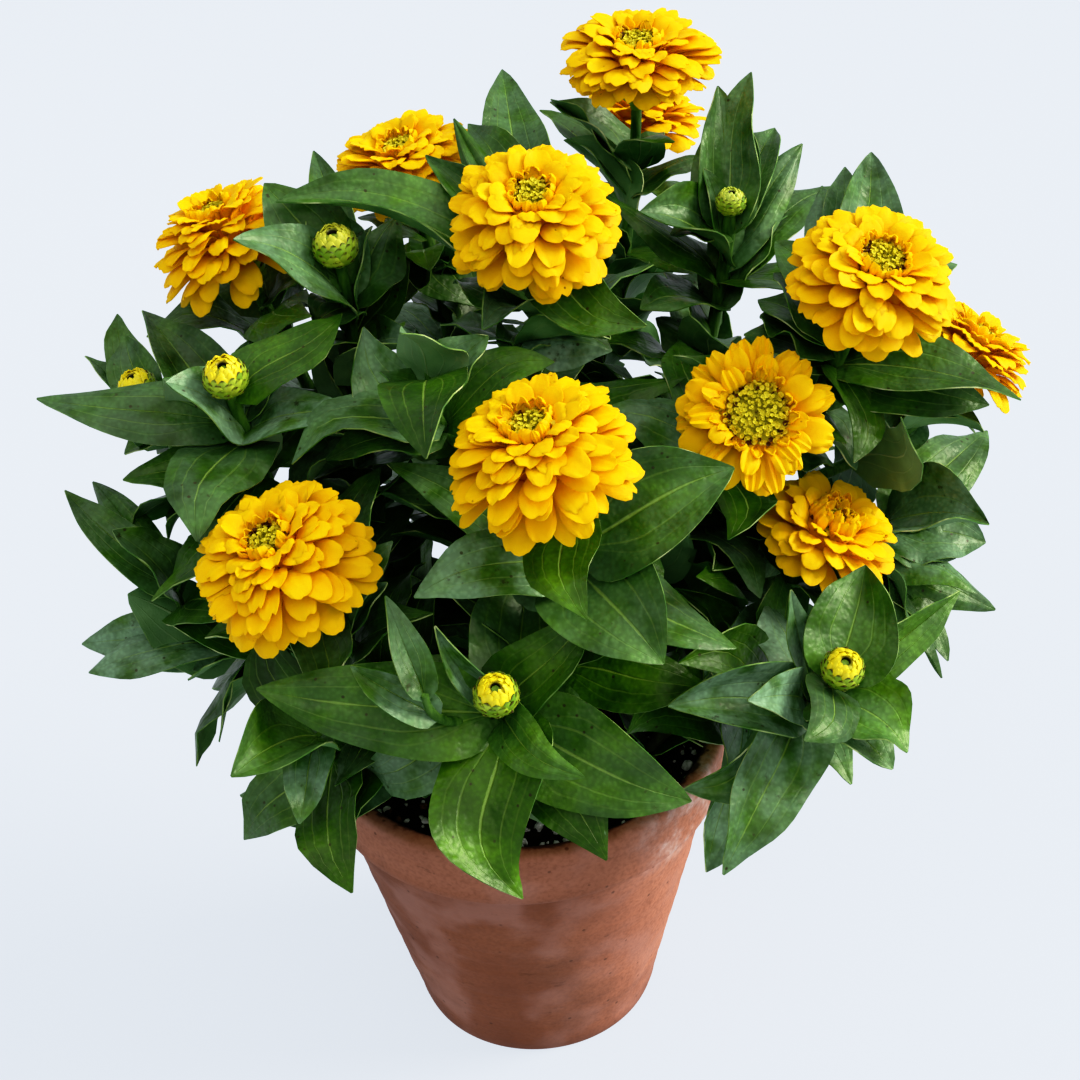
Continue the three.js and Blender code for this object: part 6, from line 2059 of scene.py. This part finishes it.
def potting_mix():
    """A turned body with a lumpy top that fills the pot, and the bits that lie in it"""
    foot = POT["floor"] + SOIL["seat"]
    edge = SOIL["top"] - SOIL["edge_drop"]
    wall = inner_wall(edge) - SOIL["seat"]
    profile = [(inner_wall(foot) - SOIL["seat"], foot), (wall, edge)]
    rings = 40
    profile += [(wall * (1 - ring / rings), edge + 0.5) for ring in range(1, rings)]
    profile = [(radius * MM, height * MM) for radius, height in profile]
    soil = drawn_up("soil_body", profile, SIDES["soil"])
    places = places_of(soil) / MM
    for place in places:
        if place[2] > edge - 0.1:
            near_wall = float(smooth_step(math.hypot(place[0], place[1]), wall - 3, wall))
            place[2] = lerp(ground(place[0], place[1]), edge, near_wall)
    move_to(soil, places * MM)
    clad(soil, PEAT)
    draw = draw_from(SEEDS["soil"])
    lumps = {"clod": lump("clod", 2), "grain": lump("grain", 1)}
    parts = [soil]
    for kind, count, sizes, proud, material in SOIL_BITS:
        heap = joined("soil_bits", scattered(lumps[kind], count, sizes, proud, draw))
        clad(heap, material)
        parts.append(heap)
    delivered(joined("potting_soil", parts), "soil", smooth_below=60)
    forget(*lumps.values())


# First seed of each kind of piece
SEEDS = {"soil": 41, "stems": 200, "petals": 300, "discs": 400, "buds": 500}

thrown_pot()
potting_mix()
for number, plant in enumerate(PLANTS):
    leafy_stem(plant, draw_from(SEEDS["stems"] + number))
for number, bloom in enumerate(blooms.values()):
    bloom_petals(bloom, draw_from(SEEDS["petals"] + number))
    bloom_disc(bloom, draw_from(SEEDS["discs"] + number))
for number, bud in enumerate(buds.values()):
    bud_crown(bud, draw_from(SEEDS["buds"] + number))
forget(FINE_LEAF, COARSE_LEAF, SCALE, STEM_TUBE, PETAL_BLADE, FLORET_BELL)


# Floor, light and camera

# Floor, in metres and with its own and its glow's colours near the pot and far from it
FLOOR = {
    "size": 30,
    "near": 0.7,
    "far": 6.5,
    "glow": 0.69,
    "glow_colours": (0xECF4FF, 0xC8D2E2),
    "colours": (0x595B5F, 0x101012),
}

# Light: the sky, and two suns with where they come from, how strong they are and how many degrees across
SKY = {"colour": 0xE8EFFA, "strength": 0.55}
LIGHTS = {
    "window": {"from": (0.8, 0.02, 0.5), "strength": 3.4, "spread": 26, "colour": 0xFFFAF2},
    "ceiling": {"from": (0.1, -0.25, 1), "strength": 1.25, "spread": 85, "colour": 0xFFFDF6},
}

# Tone curve for all colours alike, from light in to light out
TONES = ((0.012, 0.004), (0.05, 0.036), (0.2, 0.2), (0.45, 0.53), (0.7, 0.81))
ALL_COLOURS = 3


def pale_floor():
    """White paper so brightly lit that shadows on it are faint: most of its light is its own glow"""
    deselect()
    bpy.ops.mesh.primitive_plane_add(size=FLOOR["size"], location=(0, 0, 0))
    floor = bpy.context.object
    floor.name = "pale_floor"
    finish = Finish("pale_paper")
    add = finish.add
    place = add("TexCoord", output="Object")
    away = add("VectorMath", {0: place}, operation="LENGTH")
    far = add("MapRange", {0: away, 1: FLOOR["near"], 2: FLOOR["far"]}, **SMOOTH)
    glow = add("Mix", {0: far, 6: FLOOR["glow_colours"][0], 7: FLOOR["glow_colours"][1]}, **COLOURS)
    colour = add("Mix", {0: far, 6: FLOOR["colours"][0], 7: FLOOR["colours"][1]}, **COLOURS)
    clad(floor, finish.finished(base_color=colour, roughness=0.9, specular_ior_level=0.0,
                                emission_color=glow, emission_strength=FLOOR["glow"]))
    floor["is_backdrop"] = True


def studio():
    """The sky, the two suns and the way the picture is toned"""
    scene = bpy.context.scene
    world = bpy.data.worlds.new("soft_daylight")
    scene.world = world
    world.use_nodes = True
    sky = world.node_tree.nodes["Background"]
    sky.inputs["Color"].default_value = linear(SKY["colour"])
    sky.inputs["Strength"].default_value = SKY["strength"]
    for name, light in LIGHTS.items():
        sun = bpy.data.lights.new(name, "SUN")
        sun.energy = light["strength"]
        sun.angle = math.radians(light["spread"])
        sun.color = linear(light["colour"])[:3]
        holder = bpy.data.objects.new(name, sun)
        scene.collection.objects.link(holder)
        holder.rotation_euler = Vector(light["from"]).to_track_quat("Z", "Y").to_euler()
    view = scene.view_settings
    view.view_transform = "Standard"
    view.look = "None"
    view.use_curve_mapping = True
    for place, value in TONES:
        view.curve_mapping.curves[ALL_COLOURS].points.new(place, value)
    view.curve_mapping.update()


def photograph_camera():
    """The camera where the photograph was taken from"""
    camera = bpy.data.cameras.new("photograph")
    camera.sensor_width = CAMERA["sensor"]
    camera.lens = CAMERA["sensor"] * CAMERA["focal"] / CAMERA["width"]
    camera.clip_start, camera.clip_end = CAMERA["clip"]
    holder = bpy.data.objects.new("photograph", camera)
    bpy.context.scene.collection.objects.link(holder)
    turn = Matrix((Vector(RIGHT), Vector(ABOVE), Vector(-FORWARD))).transposed()
    holder.matrix_world = Matrix.Translation(Vector(EYE * MM)) @ turn.to_4x4()
    bpy.context.scene.camera = holder


pale_floor()
studio()
photograph_camera()
deselect()

visual_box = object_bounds()
boxes = {"cad": cad_box, "visual": visual_box}
{name: [list(corner) for corner in box] for name, box in boxes.items()}
